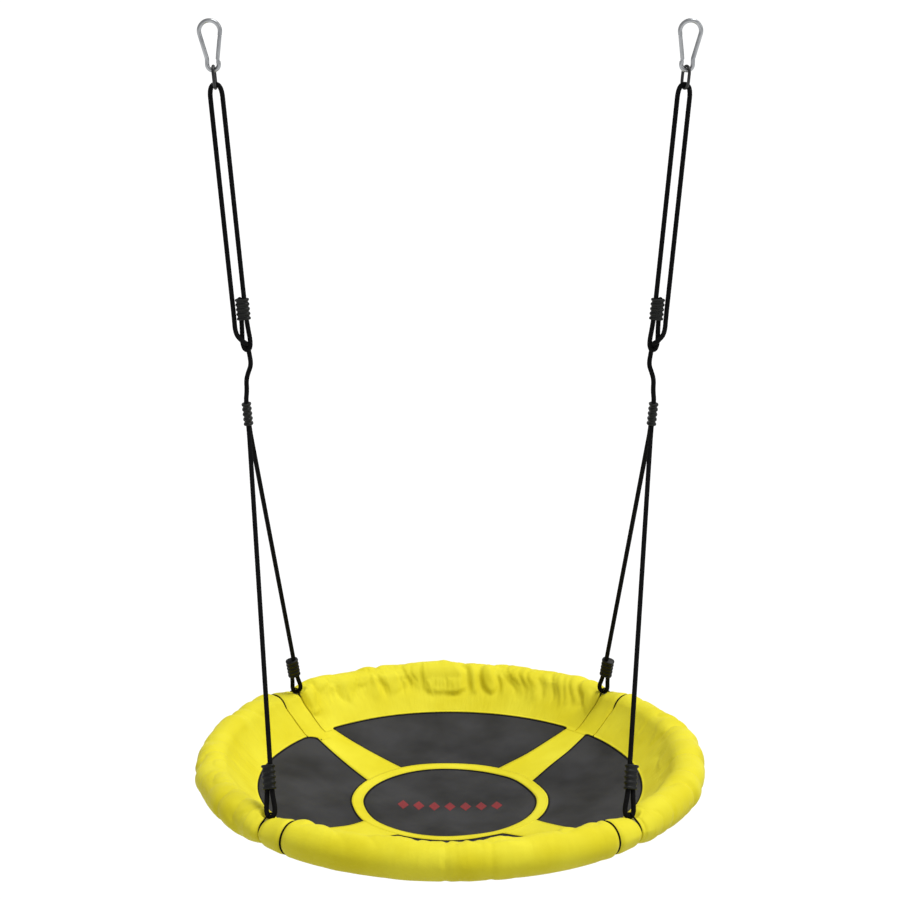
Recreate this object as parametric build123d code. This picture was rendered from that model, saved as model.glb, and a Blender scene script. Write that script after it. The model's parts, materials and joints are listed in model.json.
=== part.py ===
from build123d import *

import os
from math import acos, atan2, cos, degrees, pi, radians, sin, sqrt, tan

# Saucer swing: a padded steel ring with a sagging fabric seat, hung from two
# carabiners by adjustable ropes. Millimetres, +Z up, +X to the sitter's right.
# Heights are worked out from the ring's centre plane and lowered at export, so
# that the origin is the point midway between the two hanging points.

# ---------------------------------------------------------------- seat ring
RING_R = 441.0          # centreline radius of the steel ring
TUBE_R = 16.0           # steel tube
TUBE_WALL = 1.5
SPIGOT_R = 14.3         # swaged end that enters the next tube
SPIGOT_SPAN = 5.0       # degrees of ring that the swaged end fills
FOAM_BORE_R = 16.4      # foam sleeve round the tube
FOAM_R = 32.0
PAD_R = 34.6            # padded rim, over the cover
COVER_T = 1.2           # cover fabric
BORDER_R = 358.0        # inner edge of the sloping border between mat and rim
BORDER_Z = -40.0
BORDER_ROOT = (-30.4, -17.2)   # the border's outer edge, just clear of the cover, from the tube's centre

# -------------------------------------------------------------------- mat
MAT_T = 1.2
MAT_SAG_Z = -94.0       # top face at the middle
DISC_R = 161.0          # centre panel
HUB_R = 182.0           # outside of the yellow hub ring
ARM_ROOT_W = 88.0       # arm width at the hub ring
ARM_TIP_W = 47.0        # arm width at the border

# ------------------------------------------------- where the ropes meet the rim
EYE_X = 304.0           # middle of each rope eye's bow
EYE_Y = 310.0
EYE_Z = 21.0
SLIT_HALF = 0.8         # degrees each side of a strop that the cover leaves open
BAND_SPAN = 6.2         # degrees of rim under an arm's band
CORD_GAP = 0.5          # degrees between band and cover, where the drawcord lies
POCKET_R0, POCKET_R1 = 17.5, 23.0
STROP_R = 1.5           # cord round the tube
STROP_ROUND_TUBE = 18.5
STROP_ROUND_EYE = 7.5
DRAWCORD_R = 1.5
DRAWCORD_LIE = 33.8     # its centreline, from the tube's centre

# -------------------------------------------------------------------- ropes
ROPE_R = 3.75
LEAN = 4.7              # degrees that a hanging line leans inwards
SWAY_X, SWAY_Z = 401.1, 1223.9   # middle of the link's lower wire
STRAND = 3.9            # half the spacing of two strands in a ferrule
LOOP_HALF = 10.5        # half the spacing of the long loop's strands
ROPE_GAP = 0.4
EYE_CORNER = 10.6       # half width of a rim eye's lower corners
EYE_BOW_R = 9.0
EYE_TURN = 25.0         # degrees between a rim eye's width and the X axis
STROP_GAP = 0.8
FERRULE_START = 46.0    # from the bow's centreline to the ferrule
HINGE_GAP = 4.2         # rope cut short of the seat-pitch hinge

# ----------------------------------------------------------------- ferrules
FERRULE_W, FERRULE_D = 21.0, 13.4
RIB_W, RIB_D = 24.8, 17.0
RIB_T = 4.4
RIBS = 5
SEAT_FERRULE_L = 42.0
ADJUSTER_L = 38.0
APEX_L = 40.0
APEX = (357.6, 634.0)   # x and z of the apex ferrule's lower end
APEX_LEAN = 5.0

# ---------------------------------------------------------- link, carabiner
LINK_WIRE_R = 2.75
LINK_HALF = 12.5        # bow radius of its centreline
LINK_HIGH = 37.5        # centreline height
LINK_TWIST = {"left": 0.0, "right": 20.0}
WIRE_R = 3.75           # carabiner
CARABINER_H = 91.0
BOW_X, WAIST_X, FOOT_X = 21.8, 9.1, 10.6
WAIST_Z = 23.7
BOW_R, WAIST_R, FOOT_R = 17.8, 14.0, 9.3
NOSE_Z = 61.0           # gate's upper end
TONGUE_HALF = 1.3       # half thickness of the flat tongues
SLOT_HALF = 1.5
RIVET_R = 1.25
RIVET_PLAY = 0.05
LATCH_L = 5.0
GATE_R = 3.5
BORE_R = 2.1
SPRING_COIL_R, SPRING_WIRE_R = 1.5, 0.3
SPRING_PITCH, SPRING_L = 1.5, 12.0

SIDES = {"left": -1, "right": 1}
ENDS = {"front": -1, "back": 1}

# ------------------------------------------------------------ small helpers


def unit_vector(v):
    return v * (1.0 / v.length)


def lean_point(across, forward, along):
    """A point of the left line's leaning frame, whose origin is the link's lower wire."""
    c, s = cos(radians(LEAN)), sin(radians(LEAN))
    return Vector(-SWAY_X + across * c - along * s, forward, SWAY_Z + across * s + along * c)


LEAN_FRAME = Plane(
    origin=lean_point(0, 0, 0),
    x_dir=lean_point(1, 0, 0) - lean_point(0, 0, 0),
    z_dir=lean_point(0, 0, 1) - lean_point(0, 0, 0),
)
CARABINER_FOOT = LINK_HIGH - LINK_WIRE_R - 2 * WIRE_R - ROPE_GAP
SWING_PIVOT = lean_point(0, 0, CARABINER_FOOT + WIRE_R)
SWAY_PIVOT = lean_point(0, 0, 0)
HANG_POINT = lean_point(0, 0, CARABINER_FOOT + CARABINER_H - 2 * WIRE_R)


def largest_radius(before, corner, after):
    """The largest arc that two runs allow: 0.45 of the shorter one."""
    a, b = corner - before, after - corner
    turn = radians(a.get_angle(b))
    return 0.45 * min(a.length, b.length) / tan(turn / 2)


def rope(name, route, radius=ROPE_R):
    """A tube along straight runs joined by tangent arcs. A point's fourth value is its arc's radius."""
    points = [Vector(*p[:3]) for p in route]
    radii = []
    for i in range(1, len(points) - 1):
        free = largest_radius(points[i - 1], points[i], points[i + 1])
        radii.append(route[i][3] if len(route[i]) > 3 else free)
    path = FilletPolyline(*points, radius=radii)
    section = Plane(origin=path @ 0, z_dir=path % 0) * Circle(radius)
    solid = sweep(section, path=path)
    expected = pi * radius**2 * path.length
    print(name, "length", round(path.length), "radii", [round(r, 1) for r in radii],
          "volume share", round(solid.volume / expected, 4))
    return solid


def along_rim(face, start, span):
    """A section drawn at azimuth 0 in the XZ plane, turned round the ring's axis."""
    return Rot(0, 0, start) * revolve(face, axis=Axis.Z, revolution_arc=span)


def tube_section(outer, inner):
    return Plane.XZ * Pos(RING_R, 0) * (Circle(outer) - Circle(inner))


def rim_eye(side, end):
    """Bow centre, leg direction and width direction of one rim eye."""
    s, e = SIDES[side], ENDS[end]
    bow = Vector(s * EYE_X, e * EYE_Y, EYE_Z)
    apex = Vector(s * APEX[0], e * STRAND, APEX[1])
    along = unit_vector(apex - bow)
    turn = radians(EYE_TURN)
    flat = Vector(cos(turn), -s * e * sin(turn), 0)
    across = unit_vector(flat - along * flat.dot(along))
    return bow, along, across


def strop_top(side, end):
    bow, along, _ = rim_eye(side, end)
    return bow + along * (ROPE_R + STROP_R + STROP_GAP)


def azimuth(v):
    return degrees(atan2(v.Y, v.X))


def mirrored(shape):
    return mirror(shape, about=Plane.YZ)


parts = {}


def both_sides(name, left_shape):
    """Adds a piece of the left line and its mirror image."""
    parts[f"left_{name}"] = left_shape
    parts[f"right_{name}"] = mirrored(left_shape)


# ------------------------------------------------------------- steel ring
CORNERS = [(side, end) for side in SIDES for end in ENDS]
STROP_AZ = {c: azimuth(strop_top(*c)) for c in CORNERS}
# An arm's band lies on the sitter's-side edge of its strop: outwards at the back,
# towards the middle at the front.
BAND_SIGN = {c: -SIDES[c[0]] for c in CORNERS}


def ring_point(az, radial, height):
    r = RING_R + radial
    return Vector(r * cos(radians(az)), r * sin(radians(az)), height)


def screw_shape(az, extra=0.0):
    """A pan-head screw that enters a tube joint from below."""
    base = ring_point(az, 0, 0)
    shank = Cylinder(2.4 + extra, 6, align=(Align.CENTER, Align.CENTER, Align.MAX))
    head = Cylinder(4.5 + extra, 2.4, align=(Align.CENTER, Align.CENTER, Align.MAX))
    lower = Pos(base.X, base.Y, -TUBE_R + TUBE_WALL + 3.0) * shank
    return lower + Pos(base.X, base.Y, -TUBE_R - 0.1) * head


JOINT_AZ = {"right": 0.0, "back": 90.0, "left": 180.0, "front": 270.0}
SCREW_AT = SPIGOT_SPAN / 2
screws = [screw_shape(az + 90 + SCREW_AT) for az in JOINT_AZ.values()]
screw_room = [screw_shape(az + 90 + SCREW_AT, extra=0.1) for az in JOINT_AZ.values()]
for name, az in JOINT_AZ.items():
    tube = along_rim(tube_section(TUBE_R, TUBE_R - TUBE_WALL), az, 90)
    spigot = along_rim(tube_section(SPIGOT_R, SPIGOT_R - TUBE_WALL), az + 90, SPIGOT_SPAN)
    neck = along_rim(tube_section(TUBE_R, SPIGOT_R - TUBE_WALL), az + 89.5, 0.5)
    piece = tube + spigot + neck
    for room in screw_room:
        piece -= room
    parts[f"{name}_frame_tube"] = piece
parts["frame_screws"] = Compound(children=[Part(s.wrapped) for s in screws])

# ---------------------------------------------- foam, border, covers and bands
def border_profile():
    """Section of the mat's border at azimuth 0: a strip that slopes up to the underside of the rim."""
    x0, z0 = RING_R + BORDER_ROOT[0], BORDER_ROOT[1]
    strip = Polyline((x0, z0), (BORDER_R, BORDER_Z), (BORDER_R, BORDER_Z - COVER_T),
                     (x0, z0 - COVER_T), close=True)
    return Plane.XZ * make_face(strip)


def pocket(side, end):
    """Room in the rim for a rope eye that tilts and slides a little."""
    bow, along, across = rim_eye(side, end)
    cone = Cone(POCKET_R0, POCKET_R1, 46, align=(Align.CENTER, Align.CENTER, Align.MIN))
    place = Plane(origin=bow - along * 7, x_dir=across, z_dir=along)
    return place * cone


POCKETS = {c: pocket(*c) for c in CORNERS}


def opened(shape):
    for room in POCKETS.values():
        shape -= room
    return shape


def span_of(start, stop):
    """Start and width of the stretch that runs anticlockwise from start to stop."""
    return start, (stop - start) % 360


def band_range(corner):
    """Start and span of the rim under a corner's band."""
    sign = BAND_SIGN[corner]
    near = STROP_AZ[corner] + sign * SLIT_HALF
    far = near + sign * BAND_SPAN
    return span_of(min(near, far), max(near, far))


def cover_ends(corner):
    """The azimuths where the covers stop: beyond the strop's slit, and beyond the drawcord."""
    sign = BAND_SIGN[corner]
    slit_side = STROP_AZ[corner] - sign * SLIT_HALF
    cord_side = STROP_AZ[corner] + sign * (SLIT_HALF + BAND_SPAN + CORD_GAP)
    return slit_side, cord_side


def max_side(corner):
    """The cover end on a corner's anticlockwise side."""
    ends = cover_ends(corner)
    return ends[0] if BAND_SIGN[corner] < 0 else ends[1]


def min_side(corner):
    """The cover end on a corner's clockwise side."""
    ends = cover_ends(corner)
    return ends[1] if BAND_SIGN[corner] < 0 else ends[0]


COVERS = {"right": (("right", "front"), ("right", "back")),
          "back": (("right", "back"), ("left", "back")),
          "left": (("left", "back"), ("left", "front")),
          "front": (("left", "front"), ("right", "front"))}
for name, (first, second) in COVERS.items():
    start, span = span_of(max_side(first), min_side(second))
    parts[f"{name}_cover"] = opened(along_rim(tube_section(PAD_R, PAD_R - COVER_T), start, span))
    foam_start, foam_span = span_of(STROP_AZ[first] + SLIT_HALF, STROP_AZ[second] - SLIT_HALF)
    foam = opened(along_rim(tube_section(FOAM_R, FOAM_BORE_R), foam_start, foam_span))
    for room in screw_room:
        foam -= room
    parts[f"{name}_foam"] = foam
parts["mat_border"] = opened(along_rim(border_profile(), 0, 360))

# -------------------------------------------------------------------- mat
RISE = BORDER_Z - MAT_SAG_Z
DISH_R = (BORDER_R**2 + RISE**2) / (2 * RISE)


def dish_height(r):
    return MAT_SAG_Z + DISH_R - sqrt(DISH_R**2 - r**2)


def dish():
    """The mat's whole skin: a shallow spherical dish, its lower face the same arc a fabric's thickness down."""
    half = BORDER_R / 2
    upper = ThreePointArc((0, MAT_SAG_Z), (half, dish_height(half)), (BORDER_R, BORDER_Z))
    edge = Line((BORDER_R, BORDER_Z), (BORDER_R, BORDER_Z - MAT_T))
    lower = ThreePointArc((BORDER_R, BORDER_Z - MAT_T), (half, dish_height(half) - MAT_T),
                          (0, MAT_SAG_Z - MAT_T))
    axis = Line((0, MAT_SAG_Z - MAT_T), (0, MAT_SAG_Z))
    return revolve(Plane.XZ * make_face([upper, edge, lower, axis]), axis=Axis.Z)


def prism(face):
    return extrude(Pos(0, 0, -150) * face, 200)


def arm_prism(side, end):
    """An arm's outline in plan, from the hub ring to the border."""
    turn = azimuth(Vector(SIDES[side], ENDS[end], 0))
    inner, outer = HUB_R - 20, BORDER_R + 20
    slope = (ARM_TIP_W - ARM_ROOT_W) / 2 / (BORDER_R - HUB_R)
    at_inner = ARM_ROOT_W / 2 + slope * (inner - HUB_R)
    at_outer = ARM_ROOT_W / 2 + slope * (outer - HUB_R)
    outline = Polyline((inner, -at_inner), (outer, -at_outer), (outer, at_outer),
                       (inner, at_inner), close=True)
    return Rot(0, 0, turn) * prism(make_face(outline))


skin = dish()
hub_prism = prism(Circle(HUB_R))
parts["centre_panel"] = skin & prism(Circle(DISC_R))
parts["hub_ring"] = skin & prism(Circle(HUB_R) - Circle(DISC_R))
panels = skin - hub_prism
for corner in CORNERS:
    panels -= arm_prism(*corner)
PANEL_AT = {"front": (0, -1), "back": (0, 1), "left": (-1, 0), "right": (1, 0)}
for solid in panels.solids():
    c = solid.center()
    name = max(PANEL_AT, key=lambda n: c.X * PANEL_AT[n][0] + c.Y * PANEL_AT[n][1])
    parts[f"{name}_panel"] = solid
for corner in CORNERS:
    start, span = band_range(corner)
    band = along_rim(tube_section(PAD_R, PAD_R - COVER_T), start, span)
    parts[f"{corner[0]}_{corner[1]}_band"] = opened(band)
    parts[f"{corner[0]}_{corner[1]}_arm"] = (skin & arm_prism(*corner)) - hub_prism

# --------------------------------------------------------- strops, drawcords


def belt_halves(reach, toward):
    """A cord's line round the tube and over a smaller circle that ends at reach, as two open halves."""
    small = reach - STROP_ROUND_EYE
    side_angle = degrees(acos((STROP_ROUND_TUBE - STROP_ROUND_EYE) / small))
    centre = Vector(small * cos(radians(toward)), small * sin(radians(toward)))

    def at(angle, origin, r):
        a = radians(toward + angle)
        return origin + Vector(r * cos(a), r * sin(a))

    halves = []
    for sign in (1, -1):
        middle = 180 - (180 - side_angle) / 2
        low = ThreePointArc(at(180, Vector(0, 0), STROP_ROUND_TUBE),
                            at(sign * middle, Vector(0, 0), STROP_ROUND_TUBE),
                            at(sign * side_angle, Vector(0, 0), STROP_ROUND_TUBE))
        high = ThreePointArc(at(sign * side_angle, centre, STROP_ROUND_EYE),
                             at(sign * side_angle / 2, centre, STROP_ROUND_EYE),
                             at(0, centre, STROP_ROUND_EYE))
        halves.append(Wire([low, Line(low @ 1, high @ 0), high]))
    return halves


for corner in CORNERS:
    top = strop_top(*corner)
    az = STROP_AZ[corner]
    radial = sqrt(top.X**2 + top.Y**2) - RING_R
    reach = sqrt(radial**2 + top.Z**2)
    plane = Plane(origin=ring_point(az, 0, 0), x_dir=ring_point(az, 1, 0) - ring_point(az, 0, 0),
                  z_dir=Vector(sin(radians(az)), -cos(radians(az)), 0))
    halves = [plane * half for half in belt_halves(reach, degrees(atan2(top.Z, radial)))]
    runs = [sweep(Plane(origin=h @ 0, z_dir=h % 0) * Circle(STROP_R), path=h) for h in halves]
    parts[f"{corner[0]}_{corner[1]}_strop"] = runs[0] + runs[1]

    cord_az = az + BAND_SIGN[corner] * (SLIT_HALF + BAND_SPAN + CORD_GAP / 2)
    cord_plane = Plane(origin=ring_point(cord_az, 0, 0),
                       x_dir=ring_point(cord_az, 1, 0) - ring_point(cord_az, 0, 0),
                       z_dir=Vector(sin(radians(cord_az)), -cos(radians(cord_az)), 0))
    arc = cord_plane * CenterArc((0, 0), DRAWCORD_LIE, -95, 290)
    cord_section = Plane(origin=arc @ 0, z_dir=arc % 0) * Circle(DRAWCORD_R)
    parts[f"{corner[0]}_{corner[1]}_drawcord"] = sweep(cord_section, path=arc)

# ------------------------------------------------------------------- ropes
ADJUSTER_X = LOOP_HALF - STRAND
ADJUSTER_TOP = -365.0
ADJUSTER_FOOT = ADJUSTER_TOP - ADJUSTER_L
ADJUSTER_BOW = -456.7
ARCH = LINK_WIRE_R + ROPE_GAP + ROPE_R
HINGE_AT = (4.2, 0.0, -497.0)      # across, forward, along: where the rope bends between loop and V

LOOP_ROUTE = [
    (ADJUSTER_X - STRAND, 0, ADJUSTER_TOP + 1),
    (ADJUSTER_X - STRAND, 0, ADJUSTER_FOOT - 1, 20),
    (ADJUSTER_X - 8.6, 0, ADJUSTER_BOW, 7.6),
    (ADJUSTER_X + 8.6, 0, ADJUSTER_BOW, 7.6),
    (ADJUSTER_X + STRAND, 0, ADJUSTER_FOOT - 1, 20),
    (LOOP_HALF, 0, ARCH, LOOP_HALF - 0.1),
    (-LOOP_HALF, 0, ARCH, LOOP_HALF - 0.1),
    (-LOOP_HALF, 0, -396),
    (-10.2, -8.6, -424),
    (-1.5, -10.2, -437),
    (6.8, -7.5, -444),
    (6.8, 8.8, -448),
    (8.6, 9.2, -467),
    (10.4, 1.5, -484),
    HINGE_AT,
]
NECK_ROUTE = [(-0.9, 0, -510.5), (-1.4, -1.6, -529)]


def shorten(route, by):
    """The route with its last point drawn back along the last run."""
    last, before = Vector(*route[-1][:3]), Vector(*route[-2][:3])
    end = last - unit_vector(last - before) * by
    return [*route[:-1], (end.X, end.Y, end.Z)]


def leaned(route):
    out = []
    for p in route:
        v = lean_point(*p[:3])
        out.append((v.X, v.Y, v.Z, *p[3:]))
    return out


def in_eye(end, across_by, along_by, *arc):
    """A route point measured from a left rim eye's bow."""
    bow, along, across = rim_eye("left", end)
    v = bow + across * across_by + along * along_by
    return (v.X, v.Y, v.Z, *arc)


def apex_point(forward, up, *arc):
    """A route point measured from the apex ferrule's lower end."""
    a = radians(APEX_LEAN)
    return (-APEX[0] - up * sin(a), forward, APEX[1] + up * cos(a), *arc)


def leg_route(end):
    """From the apex ferrule's lower end down to a rim eye, round it and back into its ferrule."""
    e = ENDS[end]
    top = FERRULE_START + SEAT_FERRULE_L
    turns = (1, -1)
    return [
        apex_point(e * STRAND, -5.5, 22),
        in_eye(end, turns[0] * STRAND, top + 6, 100),
        in_eye(end, turns[0] * STRAND, FERRULE_START - 3, 30),
        in_eye(end, turns[0] * EYE_CORNER, 0, EYE_BOW_R),
        in_eye(end, turns[1] * EYE_CORNER, 0, EYE_BOW_R),
        in_eye(end, turns[1] * STRAND, FERRULE_START - 3, 30),
        in_eye(end, turns[1] * STRAND, top - 1),
    ]


loop = rope("loop_rope", leaned(shorten(LOOP_ROUTE, HINGE_GAP)))
hinge = lean_point(*HINGE_AT)
front_route = [(hinge.X, hinge.Y, hinge.Z), *leaned(NECK_ROUTE),
               apex_point(-STRAND, APEX_L + 3, 15), *leg_route("front")]
front = rope("front_rope", front_route) + Pos(*hinge) * Sphere(ROPE_R)
back = rope("back_rope", [apex_point(STRAND, APEX_L - 1), *leg_route("back")])
both_sides("loop_rope", loop)
both_sides("front_rope", front)
both_sides("back_rope", back)


# ---------------------------------------------------------------- ferrules
def ferrule(length):
    """A moulded sleeve along +Z with ribs round it and a bore for each strand."""
    core = extrude(SlotOverall(FERRULE_W, FERRULE_D), length)
    step = (length - RIB_T) / (RIBS - 1)
    for i in range(RIBS):
        core += Pos(0, 0, i * step) * extrude(SlotOverall(RIB_W, RIB_D), RIB_T)
    bore = Cylinder(ROPE_R, length + 2, align=(Align.CENTER, Align.CENTER, Align.MIN))
    core -= Pos(STRAND, 0, -1) * bore
    return core - Pos(-STRAND, 0, -1) * bore


adjuster_place = Plane(origin=lean_point(ADJUSTER_X, 0, ADJUSTER_FOOT),
                       x_dir=LEAN_FRAME.x_dir, z_dir=LEAN_FRAME.z_dir)
both_sides("adjuster_ferrule", adjuster_place * ferrule(ADJUSTER_L))
apex_place = Plane(origin=Vector(*apex_point(0, 0)), x_dir=(0, 1, 0),
                   z_dir=Vector(*apex_point(0, 1)) - Vector(*apex_point(0, 0)))
both_sides("apex_ferrule", apex_place * ferrule(APEX_L))
for end in ENDS:
    bow, along, across = rim_eye("left", end)
    place = Plane(origin=bow + along * FERRULE_START, x_dir=across, z_dir=along)
    both_sides(f"{end}_ferrule", place * ferrule(SEAT_FERRULE_L))

# ---------------------------------------------------------- link, carabiner


def link(twist):
    """An oval link whose lower wire's centre is the origin."""
    half = LINK_HIGH / 2
    outline = SlotOverall(LINK_HIGH, 2 * LINK_HALF, rotation=90)
    path = Plane.YZ * Pos(0, half) * outline.faces()[0].outer_wire()
    section = Plane(origin=path @ 0, z_dir=path % 0) * Circle(LINK_WIRE_R)
    return Rot(0, 0, twist) * sweep(section, path=path)


def gate_line(z):
    """The gate side's x at a height above the carabiner's foot."""
    share = (z - WAIST_Z) / (CARABINER_H - WIRE_R - WAIST_Z)
    return WAIST_X + share * (BOW_X - WAIST_X)


def carabiner_body():
    """Foot at the origin, gate side at +X."""
    top, foot = CARABINER_H - WIRE_R, WIRE_R
    nose = (gate_line(NOSE_Z + 0.5), 0, NOSE_Z + 0.5)
    root = WAIST_Z - 5.5
    root_x = WAIST_X + (FOOT_X - WAIST_X) * (WAIST_Z - root) / (WAIST_Z - foot)
    points = [nose, (BOW_X, 0, top), (-BOW_X, 0, top), (-WAIST_X, 0, WAIST_Z),
              (-FOOT_X, 0, foot), (FOOT_X, 0, foot), (root_x, 0, root)]
    path = FilletPolyline(*points, radius=[BOW_R, BOW_R, WAIST_R, FOOT_R, FOOT_R])
    body = sweep(Plane(origin=path @ 0, z_dir=path % 0) * Circle(WIRE_R), path=path)
    hinge_tongue = SlotCenterToCenter(7.5, 5.6, rotation=90)
    tongue = extrude(Plane.XZ * Pos(WAIST_X + 0.1, WAIST_Z - 3.75) * hinge_tongue,
                     TONGUE_HALF, both=True)
    latch_at = gate_line(NOSE_Z - LATCH_L / 2)
    latch = extrude(Plane.XZ * Pos(latch_at, NOSE_Z - LATCH_L / 2 + 0.8) * Rectangle(4.4, LATCH_L + 1.6),
                    TONGUE_HALF, both=True)
    rivet_hole = Pos(WAIST_X, 0, WAIST_Z) * Rot(90, 0, 0) * Cylinder(RIVET_R + RIVET_PLAY, 12)
    return body + tongue + latch - rivet_hole


def gate_frame():
    lower = Vector(WAIST_X, 0, WAIST_Z)
    upper = Vector(gate_line(NOSE_Z), 0, NOSE_Z)
    return Plane(origin=lower, x_dir=(0, 1, 0), z_dir=upper - lower), (upper - lower).length


def carabiner_gate():
    """A round bar with a fork at each end and a bore for its spring."""
    frame, length = gate_frame()
    bar = Cylinder(GATE_R, length, align=(Align.CENTER, Align.CENTER, Align.MIN))
    bar += Rot(0, 90, 0) * Cylinder(GATE_R, 2 * GATE_R)
    bar &= Cylinder(GATE_R, 2 * length)
    lower_slot = Pos(0, 0, -2) * Box(2 * SLOT_HALF, 20, 12)
    upper_slot = Pos(0, 0, length) * Box(2 * SLOT_HALF, 20, 2 * (LATCH_L + 1.2))
    bore = Pos(0, 0, 4) * Cylinder(BORE_R, SPRING_L + 2.5, align=(Align.CENTER, Align.CENTER, Align.MIN))
    hole = Rot(0, 90, 0) * Cylinder(RIVET_R, 12)
    return frame * (bar - lower_slot - upper_slot - bore - hole)


def gate_rivet():
    """Pressed in the gate, with play in the body's tongue."""
    pin = Rot(90, 0, 0) * Cylinder(RIVET_R, 2 * GATE_R + 0.6)
    return Pos(WAIST_X, 0, WAIST_Z) * pin


def gate_spring():
    frame, _ = gate_frame()
    helix = Helix(pitch=SPRING_PITCH, height=SPRING_L, radius=SPRING_COIL_R)
    coil = sweep(Plane(origin=helix @ 0, z_dir=helix % 0) * Circle(SPRING_WIRE_R), path=helix,
                 is_frenet=True)
    return frame * (Pos(0, 0, 4.9) * coil)


foot_frame = Plane(origin=lean_point(0, 0, CARABINER_FOOT), x_dir=LEAN_FRAME.x_dir,
                   z_dir=LEAN_FRAME.z_dir)
both_sides("carabiner_body", foot_frame * carabiner_body())
both_sides("carabiner_gate", foot_frame * carabiner_gate())
both_sides("gate_rivet", foot_frame * gate_rivet())
both_sides("gate_spring", foot_frame * gate_spring())
parts["left_link"] = LEAN_FRAME * link(LINK_TWIST["left"])
parts["right_link"] = mirrored(LEAN_FRAME * link(-LINK_TWIST["right"]))

# ------------------------------------------------------------------- export
os.makedirs("parts", exist_ok=True)
for name, shape in parts.items():
    export_step(Pos(0, 0, -HANG_POINT.Z) * shape, f"parts/{name}.step")
print("nodes", len(parts))
print("hanging points", -HANG_POINT.X, "ring centre plane", -HANG_POINT.Z)
for label, point in (("swing pivot", SWING_PIVOT), ("sway pivot", SWAY_PIVOT), ("pitch pivot", hinge),
                     ("level pivot", strop_top("left", "front"))):
    print(label, round(point.X, 3), round(point.Y, 3), round(point.Z - HANG_POINT.Z, 3))
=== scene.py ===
import json
import logging
import math
from dataclasses import dataclass
from enum import Enum
from typing import Callable, Iterable, Sequence

import bmesh
import bpy
import numpy as np
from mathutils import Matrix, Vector

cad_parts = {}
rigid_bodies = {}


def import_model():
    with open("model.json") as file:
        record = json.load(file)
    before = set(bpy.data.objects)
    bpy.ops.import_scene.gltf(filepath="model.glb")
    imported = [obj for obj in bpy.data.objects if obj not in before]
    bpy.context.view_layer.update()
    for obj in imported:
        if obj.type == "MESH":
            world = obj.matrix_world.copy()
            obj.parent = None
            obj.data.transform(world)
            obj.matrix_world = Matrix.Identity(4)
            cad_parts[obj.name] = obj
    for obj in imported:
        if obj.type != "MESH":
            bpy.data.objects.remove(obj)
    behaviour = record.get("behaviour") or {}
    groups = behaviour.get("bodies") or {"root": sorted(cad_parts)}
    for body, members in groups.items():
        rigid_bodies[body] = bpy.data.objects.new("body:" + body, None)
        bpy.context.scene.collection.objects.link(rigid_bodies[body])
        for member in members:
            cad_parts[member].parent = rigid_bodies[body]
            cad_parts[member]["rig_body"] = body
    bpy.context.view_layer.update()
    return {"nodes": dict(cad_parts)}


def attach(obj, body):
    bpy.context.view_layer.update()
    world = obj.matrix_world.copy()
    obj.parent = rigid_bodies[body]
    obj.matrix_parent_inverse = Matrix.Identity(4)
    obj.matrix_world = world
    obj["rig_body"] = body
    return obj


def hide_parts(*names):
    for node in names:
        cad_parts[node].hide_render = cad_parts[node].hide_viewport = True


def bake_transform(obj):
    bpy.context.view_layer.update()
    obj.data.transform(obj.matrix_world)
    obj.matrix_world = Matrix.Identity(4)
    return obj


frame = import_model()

# Saucer swing: a padded ring with a sagging fabric mat, on adjustable ropes.
# Metres, +Z up, +X to the sitter's right. The origin is midway between the two hanging points.

LOG = logging.getLogger("saucer_swing")
MM = 0.001
RIM_Z = -1.333879          # the ring's centre plane
RING_R = 0.441             # centreline radius of the steel ring
PAD_R = 0.0346             # padded rim, over its cover
BORDER_R = 0.358           # inner edge of the sewn border
BORDER_Z = -0.040
SAG_Z = -0.094             # the mat's top face at the middle
DISC_R, HUB_R = 0.161, 0.182
ARM_ROOT_W, ARM_TIP_W = 0.088, 0.047
DISH_R = (BORDER_R**2 + (BORDER_Z - SAG_Z) ** 2) / (2 * (BORDER_Z - SAG_Z))
BORDER_SLOPE = (BORDER_Z + 0.0162) / (BORDER_R - RING_R + 0.028)   # rise of the border towards the rim
LEAN = math.radians(4.7)   # a hanging line leans inwards by this
APEX_LEAN = math.radians(5.0)
LINK_X, LINK_Z = -401.1, 1223.9        # middle of the left link's lower wire, in millimetres
APEX_X, APEX_Z = 357.6, 634.0          # lower end of an apex ferrule, in millimetres
EYE_BOW = (0.304, 0.310, 0.021)        # middle of a rope eye's bow, over the ring's centre plane
EYE_TURN = math.radians(25)            # an eye's width turns from the X axis by this
BORDER_FOOT = RING_R - 0.0325          # outer edge of the border, under the cover


class Side(Enum):
    """A hanging line, and the sign of its X."""

    LEFT = -1
    RIGHT = 1

    @property
    def word(self) -> str:
        """The side's name in node names."""
        return self.name.lower()


class End(Enum):
    """The front or the back of the seat, and the sign of its Y."""

    FRONT = -1
    BACK = 1

    @property
    def word(self) -> str:
        """The end's name in node names."""
        return self.name.lower()


# ---------------------------------------------------------------- small helpers


def linear(code: str) -> tuple[float, float, float, float]:
    """Turns an sRGB hex colour into linear RGBA.

    Args:
        code: Six hex digits with a leading hash.

    Returns:
        Linear red, green, blue and an alpha of 1.
    """
    parts = [int(code[i:i + 2], 16) / 255 for i in (1, 3, 5)]
    return (*[c / 12.92 if c <= 0.04045 else ((c + 0.055) / 1.055) ** 2.4 for c in parts], 1.0)


def add_node(tree: bpy.types.NodeTree, kind: str, inputs: dict | None = None, **settings: object) -> bpy.types.Node:
    """Adds a node, sets it up and links it.

    Args:
        tree: The node tree that it goes into.
        kind: The node's type name.
        inputs: Socket name or number to a value, or to the output socket to link from.
        settings: Properties of the node itself.

    Returns:
        The new node.
    """
    node = tree.nodes.new(kind)
    for name, value in settings.items():
        setattr(node, name, value)
    for key, value in (inputs or {}).items():
        if isinstance(value, bpy.types.NodeSocket):
            tree.links.new(value, node.inputs[key])
        else:
            node.inputs[key].default_value = value
    return node


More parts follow.
